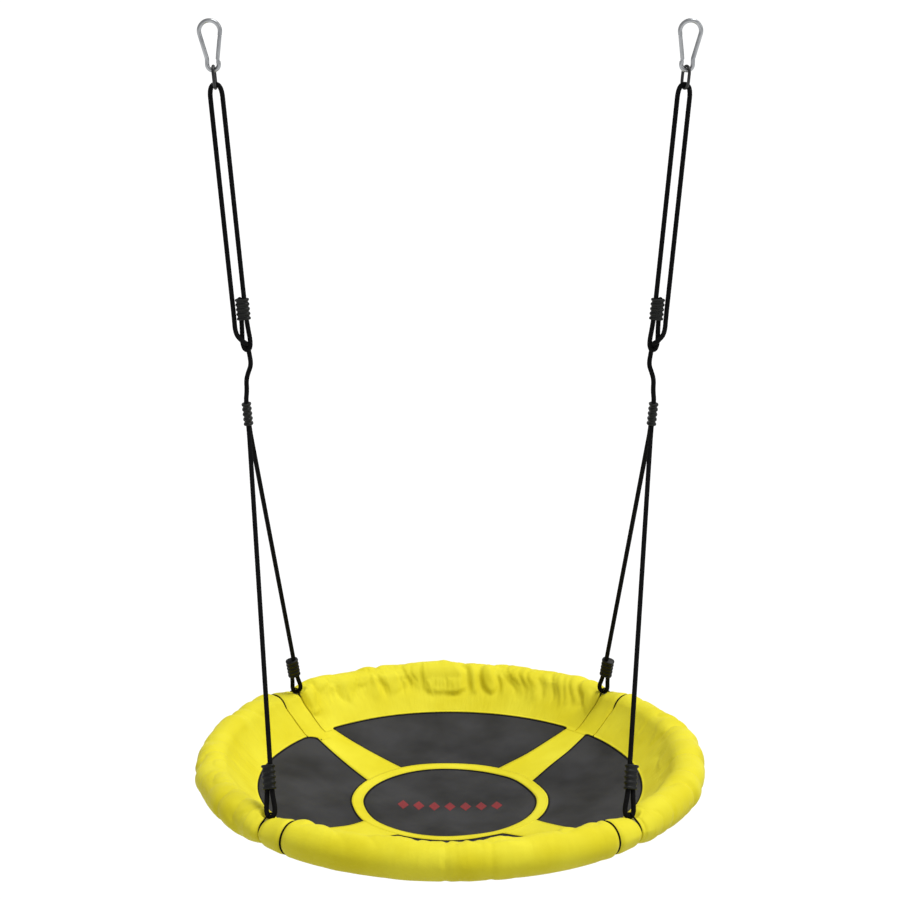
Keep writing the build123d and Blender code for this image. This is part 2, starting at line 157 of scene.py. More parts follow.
def mesh_piece(name: str, points: np.ndarray, faces: Sequence[Sequence[int]], material: bpy.types.Material,
               uv: np.ndarray | None = None) -> bpy.types.Object:
    """Makes a smooth-shaded mesh object at the origin.

    Args:
        name: The piece's name.
        points: Vertices, in the row frame.
        faces: Vertex numbers of each face.
        material: Its finish.
        uv: One UV pair for each vertex.

    Returns:
        The new object.
    """
    mesh = bpy.data.meshes.new(name)
    mesh.from_pydata([tuple(p) for p in np.asarray(points, float)], [], [tuple(f) for f in faces])
    mesh.materials.append(material)
    mesh.polygons.foreach_set("use_smooth", [True] * len(mesh.polygons))
    if uv is not None:
        layer = mesh.uv_layers.new(name="UVMap")
        corner = np.zeros(len(mesh.loops), np.int32)
        mesh.loops.foreach_get("vertex_index", corner)
        layer.data.foreach_set("uv", np.asarray(uv, np.float32)[corner].ravel())
    mesh.validate()
    piece = bpy.data.objects.new(name, mesh)
    bpy.context.scene.collection.objects.link(piece)
    return piece


def grid_faces(rows: int, columns: int, wrap: bool = False, start: int = 0) -> list[tuple[int, int, int, int]]:
    """Quads of a grid whose vertices run row by row.

    Args:
        rows: Number of rows.
        columns: Number of vertices in a row.
        wrap: Whether each row closes on itself.
        start: Number of the first vertex.

    Returns:
        The quads.
    """
    last = columns if wrap else columns - 1
    return [(start + i * columns + j, start + i * columns + (j + 1) % columns,
             start + (i + 1) * columns + (j + 1) % columns, start + (i + 1) * columns + j)
            for i in range(rows - 1) for j in range(last)]


def outward(piece: bpy.types.Object) -> bpy.types.Object:
    """Turns a closed piece's faces to look outwards and returns the piece."""
    work = bmesh.new()
    work.from_mesh(piece.data)
    bmesh.ops.recalc_face_normals(work, faces=work.faces)
    work.to_mesh(piece.data)
    work.free()
    return piece


def made_plain(piece: bpy.types.Object) -> bpy.types.Object:
    """Turns a piece's modifiers into plain mesh and returns the piece."""
    graph = bpy.context.evaluated_depsgraph_get()
    mesh = bpy.data.meshes.new_from_object(piece.evaluated_get(graph), depsgraph=graph)
    piece.modifiers.clear()
    piece.data = mesh
    return piece


def subdivided(piece: bpy.types.Object, levels: int = 1) -> bpy.types.Object:
    """Rounds a piece with subdivision surface and returns it as plain mesh."""
    piece.modifiers.new("round", "SUBSURF").levels = levels
    piece.modifiers["round"].render_levels = levels
    return made_plain(piece)


def walled(piece: bpy.types.Object, thickness: float) -> bpy.types.Object:
    """Turns a sheet face up, gives it its thickness underneath and returns it as plain mesh."""
    if sum(polygon.normal.z for polygon in piece.data.polygons) < 0:
        piece.data.flip_normals()
    wall = piece.modifiers.new("wall", "SOLIDIFY")
    wall.thickness, wall.offset = thickness, -1
    return made_plain(piece)


def placed(piece: bpy.types.Object, body: str, slot: str, *stands_for: str) -> None:
    """Sets what a piece moves with and hides the CAD nodes that it stands for."""
    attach(piece, body)
    if stands_for:
        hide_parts(*stands_for)


def tip_faces(rows: int, around: int) -> list[tuple[int, int, int]]:
    """Fans that close both ends of a tube, to the two points that follow its rows.

    Args:
        rows: Number of rings of points.
        around: Points in a ring.

    Returns:
        The triangles.
    """
    first, last = rows * around, (rows - 1) * around
    faces = []
    for j in range(around):
        k = (j + 1) % around
        faces += [(first, k, j), (first + 1, last + j, last + k)]
    return faces


def circles(radii: Iterable[float], angles: Iterable[float]) -> np.ndarray:
    """Points in plan on concentric circles, one row for each radius."""
    return np.array([[(r * math.cos(a), r * math.sin(a)) for a in angles] for r in radii])


def lean_point(across: float, forward: float, along: float) -> Vector:
    """A point of the left line's leaning frame, given in millimetres from the middle of the link's lower wire."""
    c, s = math.cos(LEAN), math.sin(LEAN)
    return Vector((LINK_X + across * c - along * s, forward, LINK_Z + across * s + along * c + RIM_Z / MM)) * MM


def apex_point(forward: float, up: float) -> Vector:
    """A point given in millimetres from the left apex ferrule's lower end."""
    return Vector((-APEX_X - up * math.sin(APEX_LEAN), forward, APEX_Z + up * math.cos(APEX_LEAN) + RIM_Z / MM)) * MM


@dataclass(frozen=True)
class Eye:
    """Where one rope eye meets the rim."""

    side: Side
    end: End

    @property
    def bow(self) -> Vector:
        """Middle of the eye's bow."""
        x, y, z = EYE_BOW
        return Vector((self.side.value * x, self.end.value * y, z + RIM_Z))

    @property
    def along(self) -> Vector:
        """Direction of the rope above the eye."""
        apex = Vector((self.side.value * APEX_X * MM, self.end.value * 0.0039, APEX_Z * MM + RIM_Z))
        return (apex - self.bow).normalized()

    @property
    def across(self) -> Vector:
        """Direction of the eye's width."""
        flat = Vector((math.cos(EYE_TURN), -self.side.value * self.end.value * math.sin(EYE_TURN), 0))
        return (flat - self.along * flat.dot(self.along)).normalized()

    @property
    def strop_top(self) -> Vector:
        """Middle of the strop where it passes through the eye."""
        return self.bow + self.along * 0.00605

    @property
    def azimuth(self) -> float:
        """The strop's place round the ring, in degrees."""
        top = self.strop_top
        return math.degrees(math.atan2(top.y, top.x))

    @property
    def arm_turn(self) -> float:
        """Direction of the corner's arm, in radians."""
        return math.atan2(self.end.value, self.side.value)

    @property
    def name(self) -> str:
        """The corner's name in node names."""
        return f"{self.side.word}_{self.end.word}"

    @property
    def band_sign(self) -> int:
        """1 where the arm's band lies anticlockwise of the strop."""
        return -self.side.value

    def at(self, across: float, along: float) -> Vector:
        """A point given in millimetres from the bow."""
        return self.bow + self.across * across * MM + self.along * along * MM


EYES = [Eye(side, end) for side in Side for end in End]


def rim_point(azimuth: float, radial: float, height: float) -> Vector:
    """A point given in metres from the ring's centreline at an azimuth in degrees."""
    r, a = RING_R + radial, math.radians(azimuth)
    return Vector((r * math.cos(a), r * math.sin(a), RIM_Z + height))


# ------------------------------------------------------------------- finishes


def plain_weave(tree: bpy.types.NodeTree, coords: bpy.types.NodeSocket, pitch: float) -> bpy.types.NodeSocket:
    """Height of a plain weave, from 0 to 1, where warp and weft take turns on top.

    Args:
        tree: The material's node tree.
        coords: Coordinates on the cloth, in metres.
        pitch: Spacing of the threads, in metres.

    Returns:
        The height's socket.
    """
    axes = add_node(tree, "ShaderNodeSeparateXYZ", {0: coords})
    ridges = []
    for axis in (0, 1):
        turned = add_node(tree, "ShaderNodeMath", {0: axes.outputs[axis], 1: math.pi / pitch}, operation="MULTIPLY")
        wave = add_node(tree, "ShaderNodeMath", {0: turned.outputs[0]}, operation="SINE")
        ridges.append(add_node(tree, "ShaderNodeMath", {0: wave.outputs[0]}, operation="ABSOLUTE").outputs[0])
    turns = add_node(tree, "ShaderNodeTexChecker", {"Vector": coords, "Scale": 1 / pitch})
    mixed = add_node(tree, "ShaderNodeMix", {"Factor": turns.outputs["Fac"], "A": ridges[0], "B": ridges[1]})
    return mixed.outputs[0]


@dataclass(frozen=True)
class Finish:
    """What every finish has: a name, a colour and how it takes light."""

    name: str
    colour: str
    roughness: float = 0.5
    ior: float = 1.5
    metallic: float = 0.0

    def start(self) -> tuple[bpy.types.Material, bpy.types.NodeTree, bpy.types.Node]:
        """Starts the material.

        Returns:
            The material, its node tree and its shader.
        """
        material = bpy.data.materials.new(self.name)
        material.use_nodes = True
        tree = material.node_tree
        shader = tree.nodes["Principled BSDF"]
        shader.inputs["Base Color"].default_value = linear(self.colour)
        shader.inputs["Roughness"].default_value = self.roughness
        shader.inputs["Metallic"].default_value = self.metallic
        if not self.metallic:
            shader.inputs["IOR"].default_value = self.ior
        return material, tree, shader

    def mottle(self, tree: bpy.types.NodeTree, shader: bpy.types.Node, coords: bpy.types.NodeSocket,
               size: float, light: str, dark: str) -> None:
        """Lets the colour drift slowly between two near shades.

        Args:
            tree: The material's node tree.
            shader: Its shader.
            coords: The coordinates that the drift follows.
            size: Size of a patch, in metres.
            light: The lighter shade.
            dark: The darker shade.
        """
        cloud = add_node(tree, "ShaderNodeTexNoise", {"Vector": coords, "Scale": 1 / size, "Detail": 3.0})
        ramp = add_node(tree, "ShaderNodeValToRGB", {"Fac": cloud.outputs["Fac"]})
        ramp.color_ramp.elements[0].position, ramp.color_ramp.elements[0].color = 0.36, linear(dark)
        ramp.color_ramp.elements[1].position, ramp.color_ramp.elements[1].color = 0.64, linear(light)
        tree.links.new(ramp.outputs["Color"], shader.inputs["Base Color"])

    def bump(self, tree: bpy.types.NodeTree, shader: bpy.types.Node, height: bpy.types.NodeSocket,
             depth: float, under: bpy.types.Node | None = None) -> bpy.types.Node:
        """Adds a bump of a depth in metres, on top of another, and returns its node."""
        inputs = {"Height": height, "Distance": depth, "Strength": 1.0}
        if under is not None:
            inputs["Normal"] = under.outputs["Normal"]
        made = add_node(tree, "ShaderNodeBump", inputs)
        tree.links.new(made.outputs["Normal"], shader.inputs["Normal"])
        return made


@dataclass(frozen=True)
class WovenCloth(Finish):
    """Oxford polyester: flat threads that catch the light in rows, with a faint sheen at grazing angles."""

    light: str = "#FFFFFF"
    dark: str = "#000000"
    thread: float = 1.3 * MM   # real threads are about 0.5 mm: drawn coarser so that they show
    depth: float = 0.12 * MM
    sheen: float = 0.12
    crease: float = 0.0        # depth of the small gathers across the cloth

    def material(self) -> bpy.types.Material:
        """Builds the cloth."""
        material, tree, shader = self.start()
        uv = add_node(tree, "ShaderNodeUVMap", uv_map="UVMap").outputs["UV"]
        self.mottle(tree, shader, uv, 0.11, self.light, self.dark)
        shader.inputs["Sheen Weight"].default_value = self.sheen
        shader.inputs["Sheen Roughness"].default_value = 0.45
        under = None
        if self.crease:
            stretched = add_node(tree, "ShaderNodeMapping", {"Vector": uv, "Scale": (95.0, 17.0, 1.0)})
            folds = add_node(tree, "ShaderNodeTexNoise", {"Vector": stretched.outputs[0], "Scale": 1.0, "Detail": 2.0})
            under = self.bump(tree, shader, folds.outputs["Fac"], self.crease)
        self.bump(tree, shader, plain_weave(tree, uv, self.thread), self.depth, under)
        return material


@dataclass(frozen=True)
class BraidedCord(Finish):
    """Braided polypropylene: dull black yarn, a little lighter on the crown of each strand."""

    yarn: float = 0.9 * MM

    def material(self) -> bpy.types.Material:
        """Builds the cord."""
        material, tree, shader = self.start()
        uv = add_node(tree, "ShaderNodeUVMap", uv_map="UVMap").outputs["UV"]
        self.mottle(tree, shader, uv, 0.006, "#0D0D0F", "#040405")
        axes = add_node(tree, "ShaderNodeSeparateXYZ", {0: uv})
        slant = add_node(tree, "ShaderNodeMath", {0: axes.outputs[0], 1: axes.outputs[1]}, operation="ADD")
        turned = add_node(tree, "ShaderNodeMath", {0: slant.outputs[0], 1: math.tau / self.yarn}, operation="MULTIPLY")
        wave = add_node(tree, "ShaderNodeMath", {0: turned.outputs[0]}, operation="SINE")
        self.bump(tree, shader, wave.outputs[0], 0.06 * MM)
        return material


@dataclass(frozen=True)
class SolidFinish(Finish):
    """A hard piece's surface: moulded plastic, plating or paint, with its fine grain."""

    grain: float = 0.4 * MM
    depth: float = 0.02 * MM
    light: str = ""
    dark: str = ""
    patchy: float = 0.0        # how far roughness drifts from place to place

    def material(self) -> bpy.types.Material:
        """Builds the surface."""
        material, tree, shader = self.start()
        place = add_node(tree, "ShaderNodeTexCoord").outputs["Object"]
        if self.light:
            self.mottle(tree, shader, place, 0.02, self.light, self.dark)
        if self.patchy:
            cloud = add_node(tree, "ShaderNodeTexNoise", {"Vector": place, "Scale": 260.0, "Detail": 3.0})
            drift = add_node(tree, "ShaderNodeMapRange", {"Value": cloud.outputs["Fac"],
                             "To Min": self.roughness - self.patchy, "To Max": self.roughness + self.patchy})
            tree.links.new(drift.outputs[0], shader.inputs["Roughness"])
        fine = add_node(tree, "ShaderNodeTexNoise", {"Vector": place, "Scale": 1 / self.grain, "Detail": 2.0})
        self.bump(tree, shader, fine.outputs["Fac"], self.depth)
        return material


class Finishes:
    """Every finish of the swing, built once."""

    def __init__(self) -> None:
        """Builds them all."""
        yellow = dict(colour="#EFE222", roughness=0.62, ior=1.3, light="#F6EB36", dark="#EBDD20", sheen=0.03)
        self.yellow = WovenCloth("yellow_oxford_gathered", crease=1.1 * MM, **yellow).material()
        self.yellow_flat = WovenCloth("yellow_oxford_stretched", **yellow).material()
        self.grey = WovenCloth("grey_mesh_polyester", "#323235", roughness=0.72, ior=1.35, light="#3D3D41",
                               dark="#28282B", thread=1.7 * MM, depth=0.25 * MM, sheen=0.0).material()
        # near-black cloth for the narrow strips laid along the panels' edges, where the yellow meets them
        self.binding = WovenCloth("black_binding_tape", "#0E0E10", roughness=0.75, ior=1.3, light="#111113",
                                  dark="#0B0B0C", thread=1.0 * MM, sheen=0.0).material()
        self.print = WovenCloth("red_screen_print", "#8E2430", roughness=0.7, light="#95262F", dark="#7E202B",
                                thread=1.7 * MM, depth=0.2 * MM, sheen=0.0).material()
        self.rope = BraidedCord("black_braided_polypropylene", "#070708", roughness=0.78, ior=1.2).material()
        self.thread = SolidFinish("yellow_sewing_thread", "#E4D72C", roughness=0.55, grain=0.3 * MM,
                                  depth=0.04 * MM).material()
        self.plastic = SolidFinish("black_moulded_nylon", "#0D0F0D", roughness=0.5, ior=1.35,
                                   light="#111311", dark="#090A09").material()
        self.zinc = SolidFinish("zinc_plated_steel", "#A9ABAD", roughness=0.34, metallic=1.0, patchy=0.08,
                                grain=0.5 * MM, depth=0.012 * MM, light="#B1B3B5", dark="#9B9DA0").material()
        self.black_steel = SolidFinish("black_coated_steel", "#0E0E0F", roughness=0.36, patchy=0.06).material()
        self.tube = SolidFinish("powder_coated_steel", "#8F9294", roughness=0.5, grain=0.8 * MM).material()


# ------------------------------------------------------------------ mat's shape


# Soft pulls in the mat: direction in degrees, offset and width in metres, rise in millimetres.
MAT_PULLS = ((24, 0.05, 0.030, 2.0), (-31, 0.16, 0.036, -1.8), (152, 0.12, 0.028, 1.9), (203, 0.02, 0.034, -1.7),
             (67, -0.15, 0.030, 1.6), (118, 0.22, 0.026, -1.5), (-12, -0.24, 0.030, 1.6), (171, -0.22, 0.032, -1.8))
SEAM_UNDER = 0.006         # how far the centre panel and the arms run on under their seams


def mat_height(x: np.ndarray, y: np.ndarray) -> np.ndarray:
    """The mat's top face: a shallow dish with a few soft pulls towards its corners.

    Args:
        x: X of each point, in metres.
        y: Y of each point, in metres.

    Returns:
        Z of each point, in the row frame.
    """
    r2 = x * x + y * y
    z = SAG_Z + DISH_R - np.sqrt(np.maximum(DISH_R**2 - r2, 0.1)) + RIM_Z
    share = np.sqrt(r2) / BORDER_R
    soft = np.clip(share * (1.12 - share) * 3.4, 0, 1)
    for angle, offset, width, rise in MAT_PULLS:
        a = math.radians(angle)
        off = -x * math.sin(a) + y * math.cos(a) - offset
        z = z + soft * rise * MM * np.exp(-(off / width) ** 2)
    return z


def height_at(x: float, y: float) -> float:
    """Z of the mat's top face at one point."""
    return float(mat_height(np.array(x), np.array(y)))


def arm_half_width(r: float) -> float:
    """Half an arm's width at a radius."""
    return ARM_ROOT_W / 2 + (ARM_TIP_W - ARM_ROOT_W) / 2 * (r - HUB_R) / (BORDER_R - HUB_R)


def arm_half_angle(r: float, inset: float = 0.0) -> float:
    """Angle from an arm's middle to its edge at a radius, or to a line inside that edge."""
    return math.asin((arm_half_width(r) - inset) / r)


def fillet_radius(eye: Eye, toward: int) -> float:
    """How far a panel's corner beside an arm is rounded, by the side of the arm that it lies on."""
    beside_left_panel = eye.side is Side.LEFT and (toward > 0) == (eye.end is End.BACK)
    return 0.030 if beside_left_panel else 0.008


def border_radius(azimuth: float) -> float:
    """Inner edge of the yellow border, which comes in where an arm joins it."""
    r = BORDER_R - 0.003
    for eye in EYES:
        off = (azimuth - math.degrees(eye.arm_turn) + 180) % 360 - 180
        beyond = abs(math.radians(off)) * BORDER_R - ARM_TIP_W / 2
        reach = fillet_radius(eye, 1 if off > 0 else -1)
        if beyond < reach:
            share = 1 - max(beyond, 0) / reach
            r -= reach * (1 - math.sqrt(max(1 - share * share, 0))) * 0.9
    return r


# ------------------------------------------------------------------- padded rim


def relaxed(points: np.ndarray, rest_u: np.ndarray, rest_v: np.ndarray, held: np.ndarray,
            push_out: Callable[[np.ndarray], np.ndarray], rounds: int) -> np.ndarray:
    """Lets a grid of cloth settle: threads take their cut lengths, and nothing sinks into the foam.

    Args:
        points: The grid, columns along the rim by rows round its section.
        rest_u: Cut length of each thread piece along the rim.
        rest_v: Cut length of each thread piece round the section.
        held: True where the cloth is sewn or tied down.
        push_out: Moves points off whatever they lie on.
        rounds: Number of passes.

    Returns:
        The settled grid.
    """
    p = points.copy()
    free = np.where(held, 0.0, 1.0)[..., None]
    fixed = points.copy()
    rest_d = np.sqrt((rest_u[:, :-1] ** 2 + rest_u[:, 1:] ** 2 + rest_v[:-1] ** 2 + rest_v[1:] ** 2) / 2)

    def pull(a: tuple, b: tuple, rest: np.ndarray, stiff: float, only_short: bool = False) -> None:
        """Moves two sets of points towards their cut distance."""
        d = p[b] - p[a]
        length = np.sqrt((d * d).sum(-1))
        share = (length - rest) / np.maximum(length, 1e-9) * stiff * 0.5
        if only_short:
            share = np.minimum(share, 0)
        d *= share[..., None]
        p[a] += d
        p[b] -= d

    count_u, count_v = p.shape[:2]
    long_u = rest_u[:-1] + rest_u[1:]
    long_v = rest_v[:, :-1] + rest_v[:, 1:]
    for _ in range(rounds):
        for k in (0, 1):
            n = (count_u - k) // 2
            a, b = slice(k, k + 2 * n - 1, 2), slice(k + 1, k + 2 * n, 2)
            pull((a,), (b,), rest_u[a], 1.0)
            pull((a, slice(0, -1)), (b, slice(1, None)), rest_d[a], 0.25)
            pull((a, slice(1, None)), (b, slice(0, -1)), rest_d[a], 0.25)
        for k in (0, 1):
            n = (count_v - k) // 2
            a, b = slice(k, k + 2 * n - 1, 2), slice(k + 1, k + 2 * n, 2)
            pull((slice(None), a), (slice(None), b), rest_v[:, a], 0.9)
        for k in range(4):
            index = np.arange(k, count_u - 2, 4)
            pull((index,), (index + 2,), long_u[index] * 0.90, 0.12, only_short=True)
            index = np.arange(k, count_v - 2, 4)
            pull((slice(None), index), (slice(None), index + 2), long_v[:, index] * 0.975, 0.3, only_short=True)
        p = fixed + (push_out(p) - fixed) * free
    return p


SIDE_DRAW = 0.0062         # how far the cloth draws the pad in at the sides
PAD_SLACK = 0.0012         # the settled cloth lies this far inside its CAD radius
SIDE_PINCH = 0.0022        # and this much further in at the sides
EYE_PINCH, EYE_SADDLE = 0.0022, 0.0075     # all round, and above, beside a rope eye
SADDLE_AT, SADDLE_SPAN = 0.010, 0.036      # from the strop towards the band, and its half width


def pad_centre(azimuth: np.ndarray) -> np.ndarray:
    """How far the pad's middle lies outside the ring's centreline: the cloth draws it in at the sides."""
    return -SIDE_DRAW * np.cos(np.radians(azimuth)) ** 2


def pad_radius(azimuth: np.ndarray, theta: np.ndarray) -> np.ndarray:
    """The pad's radius: thinner at the sides, and pressed down round each rope eye.

    Args:
        azimuth: Place round the ring, in degrees.
        theta: Angle round the section, in degrees, from outermost over the top.

    Returns:
        The radius over the cover.
    """
    radius = PAD_R - PAD_SLACK - SIDE_PINCH * np.cos(np.radians(azimuth)) ** 2
    above = np.clip(np.sin(np.radians(theta)), 0, 1) ** 0.8
    for eye in EYES:
        off = np.radians((azimuth - eye.azimuth + 180) % 360 - 180) * RING_R
        share = np.exp(-((off - eye.band_sign * SADDLE_AT) / SADDLE_SPAN) ** 2)
        radius = radius - (EYE_PINCH + EYE_SADDLE * above) * share
    return radius


class Edge(Enum):
    """How a stretch of cover ends, with how far it falls there and over what distance, in metres."""

    SLIT = (0.0046, 0.0062)    # beside a strop
    CORD = (0.0032, 0.0046)    # beside a drawcord

    def drop(self, distance: float) -> float:
        """How far the pad's radius falls at a distance from the end."""
        depth, span = self.value
        return depth * math.exp(-(distance / span) ** 2)


FLAP_LEAVES, FLAP_RETURNS = 149.0, -147.0      # angles round the section where the cloth leaves the pad
FLAP_R, FLAP_Z = -0.022, 0.014                 # the flap lies inside and under these
CLOTH_LOW, CLOTH_HIGH = -0.0038, 0.0066        # how far settled cloth may lie from the pad's radius
DENT_WIDE, DENT_DEEP, DENT_FLOOR = 0.0175, 0.0080, -0.0050     # hollow in the cover under a rope eye
CLOTH_LIFT = 0.0022                            # cover over the mat's top face, where it is sewn down


@dataclass
class RimCover:
    """A stretch of padded rim: foam in a yellow cover whose border is sewn to the mat."""

    name: str
    start: float               # azimuth where it starts, in degrees
    stop: float
    start_edge: Edge
    stop_edge: Edge
    finish: bpy.types.Material
    gather: Callable[[np.ndarray, np.ndarray], np.ndarray] | None = None
    pitch: float = 0.0042      # spacing of the cloth grid along the rim
    seed: int = 1
    relief: float = 0.0130     # height of the tallest folds before they settle
    lip: float = 0.0014        # how far the cloth's edges lean together over a strop
    seams: tuple[float, ...] = ()      # azimuths where two lengths of cloth are joined
    fold_w: float = 0.030      # width and length of a fold
    fold_l: float = 0.075

    def columns(self) -> np.ndarray:
        """Azimuths of the grid's columns, closer together near the ends."""
        span = math.radians(self.stop - self.start) * RING_R
        fine = min(0.030, span / 2 - 0.001)
        lead = np.linspace(0, fine, 16)
        middle = max(int((span - 2 * fine) / self.pitch), 1)
        along = np.concatenate([lead[:-1], np.linspace(fine, span - fine, middle + 1), (span - lead[:-1])[::-1]])
        return self.start + np.degrees(along / RING_R)

    def section(self, azimuth: float) -> tuple[np.ndarray, int]:
        """The closed outline at an azimuth, from the border's inner edge over the rim and back underneath.

        Args:
            azimuth: Place round the ring, in degrees.

        Returns:
            Radial offset and height of each row from the tube's centre, and the number of rows that can move.
        """
        r_in = border_radius(azimuth)
        a = math.radians(azimuth)
        inner_z = height_at(r_in * math.cos(a), r_in * math.sin(a)) - RIM_Z + CLOTH_LIFT
        outer_z = BORDER_Z + CLOTH_LIFT
        rows = []
        for t in np.linspace(0, 1, 4)[:-1]:
            rows.append(((r_in + (BORDER_R - r_in) * t) - RING_R, inner_z + (outer_z - inner_z) * t))
        shift = float(pad_centre(np.array(azimuth)))
        leave = math.radians(FLAP_LEAVES)
        reach = float(pad_radius(np.array(azimuth), np.array(FLAP_LEAVES)))
        p0 = np.array((BORDER_R - RING_R, outer_z))
        p2 = np.array((shift + reach * math.cos(leave), reach * math.sin(leave)))
        p1 = p2 + 0.027 * np.array((-math.sin(leave), math.cos(leave)))
        for t in np.linspace(0, 1, 15)[:-1]:
            rows.append(tuple((1 - t) ** 2 * p0 + 2 * t * (1 - t) * p1 + t * t * p2))
        for degrees in np.linspace(FLAP_LEAVES, FLAP_RETURNS, 48):
            reach = float(pad_radius(np.array(azimuth), np.array(degrees)))
            rows.append((shift + reach * math.cos(math.radians(degrees)), reach * math.sin(math.radians(degrees))))
        moving = len(rows)
        for t in np.linspace(0, 1, 6):
            x = -0.033 * (1 - t) + (BORDER_R - RING_R) * t
            rows.append((x, outer_z - CLOTH_LIFT + BORDER_SLOPE * (x - (BORDER_R - RING_R)) - 0.0006))
        rows.append((r_in - RING_R, inner_z - 0.0024))
        return np.array(rows), moving

    def grid(self) -> tuple[np.ndarray, int]:
        """The cloth's grid of points before it settles, and its number of moving rows."""
        azimuths = self.columns()
        outlines, moving = [], 0
        for azimuth in azimuths:
            outline, moving = self.section(azimuth)
            from_start = math.radians(azimuth - self.start) * RING_R
            from_stop = math.radians(self.stop - azimuth) * RING_R
            drop = self.start_edge.drop(from_start) + self.stop_edge.drop(from_stop)
            radius = np.hypot(outline[:, 0], outline[:, 1])
            close = np.clip((0.052 - radius) / 0.012, 0, 1)
            outline = outline * (1 - close * drop / np.maximum(radius, 0.01))[:, None]
            outlines.append(outline)
        stack = np.array(outlines)
        a = np.repeat(np.radians(azimuths)[:, None], stack.shape[1], axis=1)
        theta = np.degrees(np.arctan2(stack[:, :, 1], stack[:, :, 0]))
        lips = np.clip((np.abs(theta - 108) - 35) / 20, 0, 1) * self.lip / RING_R
        if self.start_edge is Edge.SLIT:
            a[0] -= lips[0]
            a[1] -= lips[1] * 0.4
        if self.stop_edge is Edge.SLIT:
            a[-1] += lips[-1]
            a[-2] += lips[-2] * 0.4
        r = RING_R + stack[:, :, 0]
        return np.stack([r * np.cos(a), r * np.sin(a), RIM_Z + stack[:, :, 1]], axis=-1), moving

    @staticmethod
    def off_foam(points: np.ndarray) -> np.ndarray:
        """Pushes cloth out of the foam and up off the border, and holds its ridges down."""
        out = points.copy()
        r = np.hypot(out[..., 0], out[..., 1])
        azimuth = np.degrees(np.arctan2(out[..., 1], out[..., 0]))
        shift = pad_centre(azimuth)
        radial, height = r - RING_R - shift, out[..., 2] - RIM_Z
        distance = np.maximum(np.hypot(radial, height), 1e-6)
        pad = pad_radius(azimuth, np.degrees(np.arctan2(height, radial)))
        near_flap = (radial < FLAP_R) & (height < FLAP_Z)
        low, high = pad + CLOTH_LOW, pad + CLOTH_HIGH
        wanted = np.where(near_flap, np.maximum(distance, low), np.clip(distance, low, high))
        radial, height = radial * wanted / distance + shift, height * wanted / distance
        floor = BORDER_Z + 0.0016 + BORDER_SLOPE * (radial - (BORDER_R - RING_R))
        height = np.where(near_flap, np.clip(height, floor, floor + 0.036), height)
        turn = (RING_R + radial) / np.maximum(r, 1e-6)
        out[..., 0] *= turn
        out[..., 1] *= turn
        out[..., 2] = RIM_Z + height
        return out

    def folds(self, u: np.ndarray, v: np.ndarray) -> np.ndarray:
        """Heights from 0 to 1 of gathered folds: broad crowns that branch, with sharp valleys between.

        Args:
            u: Distance along the rim, in metres.
            v: Distance round the section, in metres.

        Returns:
            The height at each place.
        """
        rng = np.random.default_rng(self.seed)

        def cloud(wide: float, tall: float) -> np.ndarray:
            """Smooth noise from 0 to 1 with cells of this size."""
            a, b = u / wide, v / tall
            a0, b0 = np.floor(a).astype(int), np.floor(b).astype(int)
            table = rng.random((int(a0.max()) + 3, int(b0.max()) + 3))
            fa, fb = a - a0, b - b0
            fa, fb = fa * fa * (3 - 2 * fa), fb * fb * (3 - 2 * fb)
            low = table[a0, b0] * (1 - fa) + table[a0 + 1, b0] * fa
            high = table[a0, b0 + 1] * (1 - fa) + table[a0 + 1, b0 + 1] * fa
            return low * (1 - fb) + high * fb

        u = u + 0.030 * (cloud(0.09, 0.05) - 0.5) + 0.014 * (cloud(0.03, 0.03) - 0.5)
        u = u - u.min()
        coarse = np.minimum(np.abs(2 * cloud(self.fold_w, self.fold_l) - 1) * 1.5, 1) ** 0.8
        fine = np.abs(2 * cloud(self.fold_w * 0.5, self.fold_l * 0.6) - 1)
        return (0.82 * coarse + 0.18 * fine) * (0.55 + 0.8 * cloud(0.11, 0.08))

    def settled(self) -> tuple[np.ndarray, np.ndarray]:
        """The cloth after it has settled, with its cut coordinates."""
        points, moving = self.grid()
        whole = points.copy()
        step_u = np.linalg.norm(np.diff(points, axis=0), axis=-1)
        step_v = np.linalg.norm(np.diff(points, axis=1), axis=-1)
        u = np.concatenate([[0.0], np.cumsum(step_u.mean(axis=1))])
        v = np.concatenate([np.zeros((len(points), 1)), np.cumsum(step_v, axis=1)], axis=1)
        uv = np.stack([np.broadcast_to(u[:, None], v.shape), v], axis=-1)
        if self.gather is not None:
            azimuths = self.columns()
            live = points[:, :moving]
            r = np.hypot(live[..., 0], live[..., 1]) - RING_R - pad_centre(azimuths)[:, None]
            theta = np.degrees(np.arctan2(live[..., 2] - RIM_Z, r))
            theta = np.where(theta < -150, theta + 360, theta)
            extra = self.gather(np.broadcast_to(azimuths[:, None], theta.shape), theta)
            on_flap = np.clip((-0.046 - r) / 0.020, 0, 1) * (theta > 150)
            extra = extra * (1 - on_flap) ** 2
            normal = np.stack([np.cos(np.radians(azimuths))[:, None] * np.cos(np.radians(theta)),
                               np.sin(np.radians(azimuths))[:, None] * np.cos(np.radians(theta)),
                               np.sin(np.radians(theta))], axis=-1)
            push = self.folds(uv[:, :moving, 0], uv[:, :moving, 1]) - 0.42
            scale = np.clip(extra / 0.10, 0, 1.5)
            live = live + normal * (push * self.relief * scale)[..., None]
            rest_u = step_u[:, :moving] * (1 + (extra[:-1] + extra[1:]) / 2)
            rest_v = step_v[:, :moving - 1] * 1.01
            held = np.zeros(theta.shape, bool)
            held[:, :3] = held[:, -1] = held[0] = held[-1] = True
            live[held] = points[:, :moving][held]
            live = relaxed(live, rest_u, rest_v, held, self.off_foam, 10)
            whole[:, :moving] = live
        return whole, uv

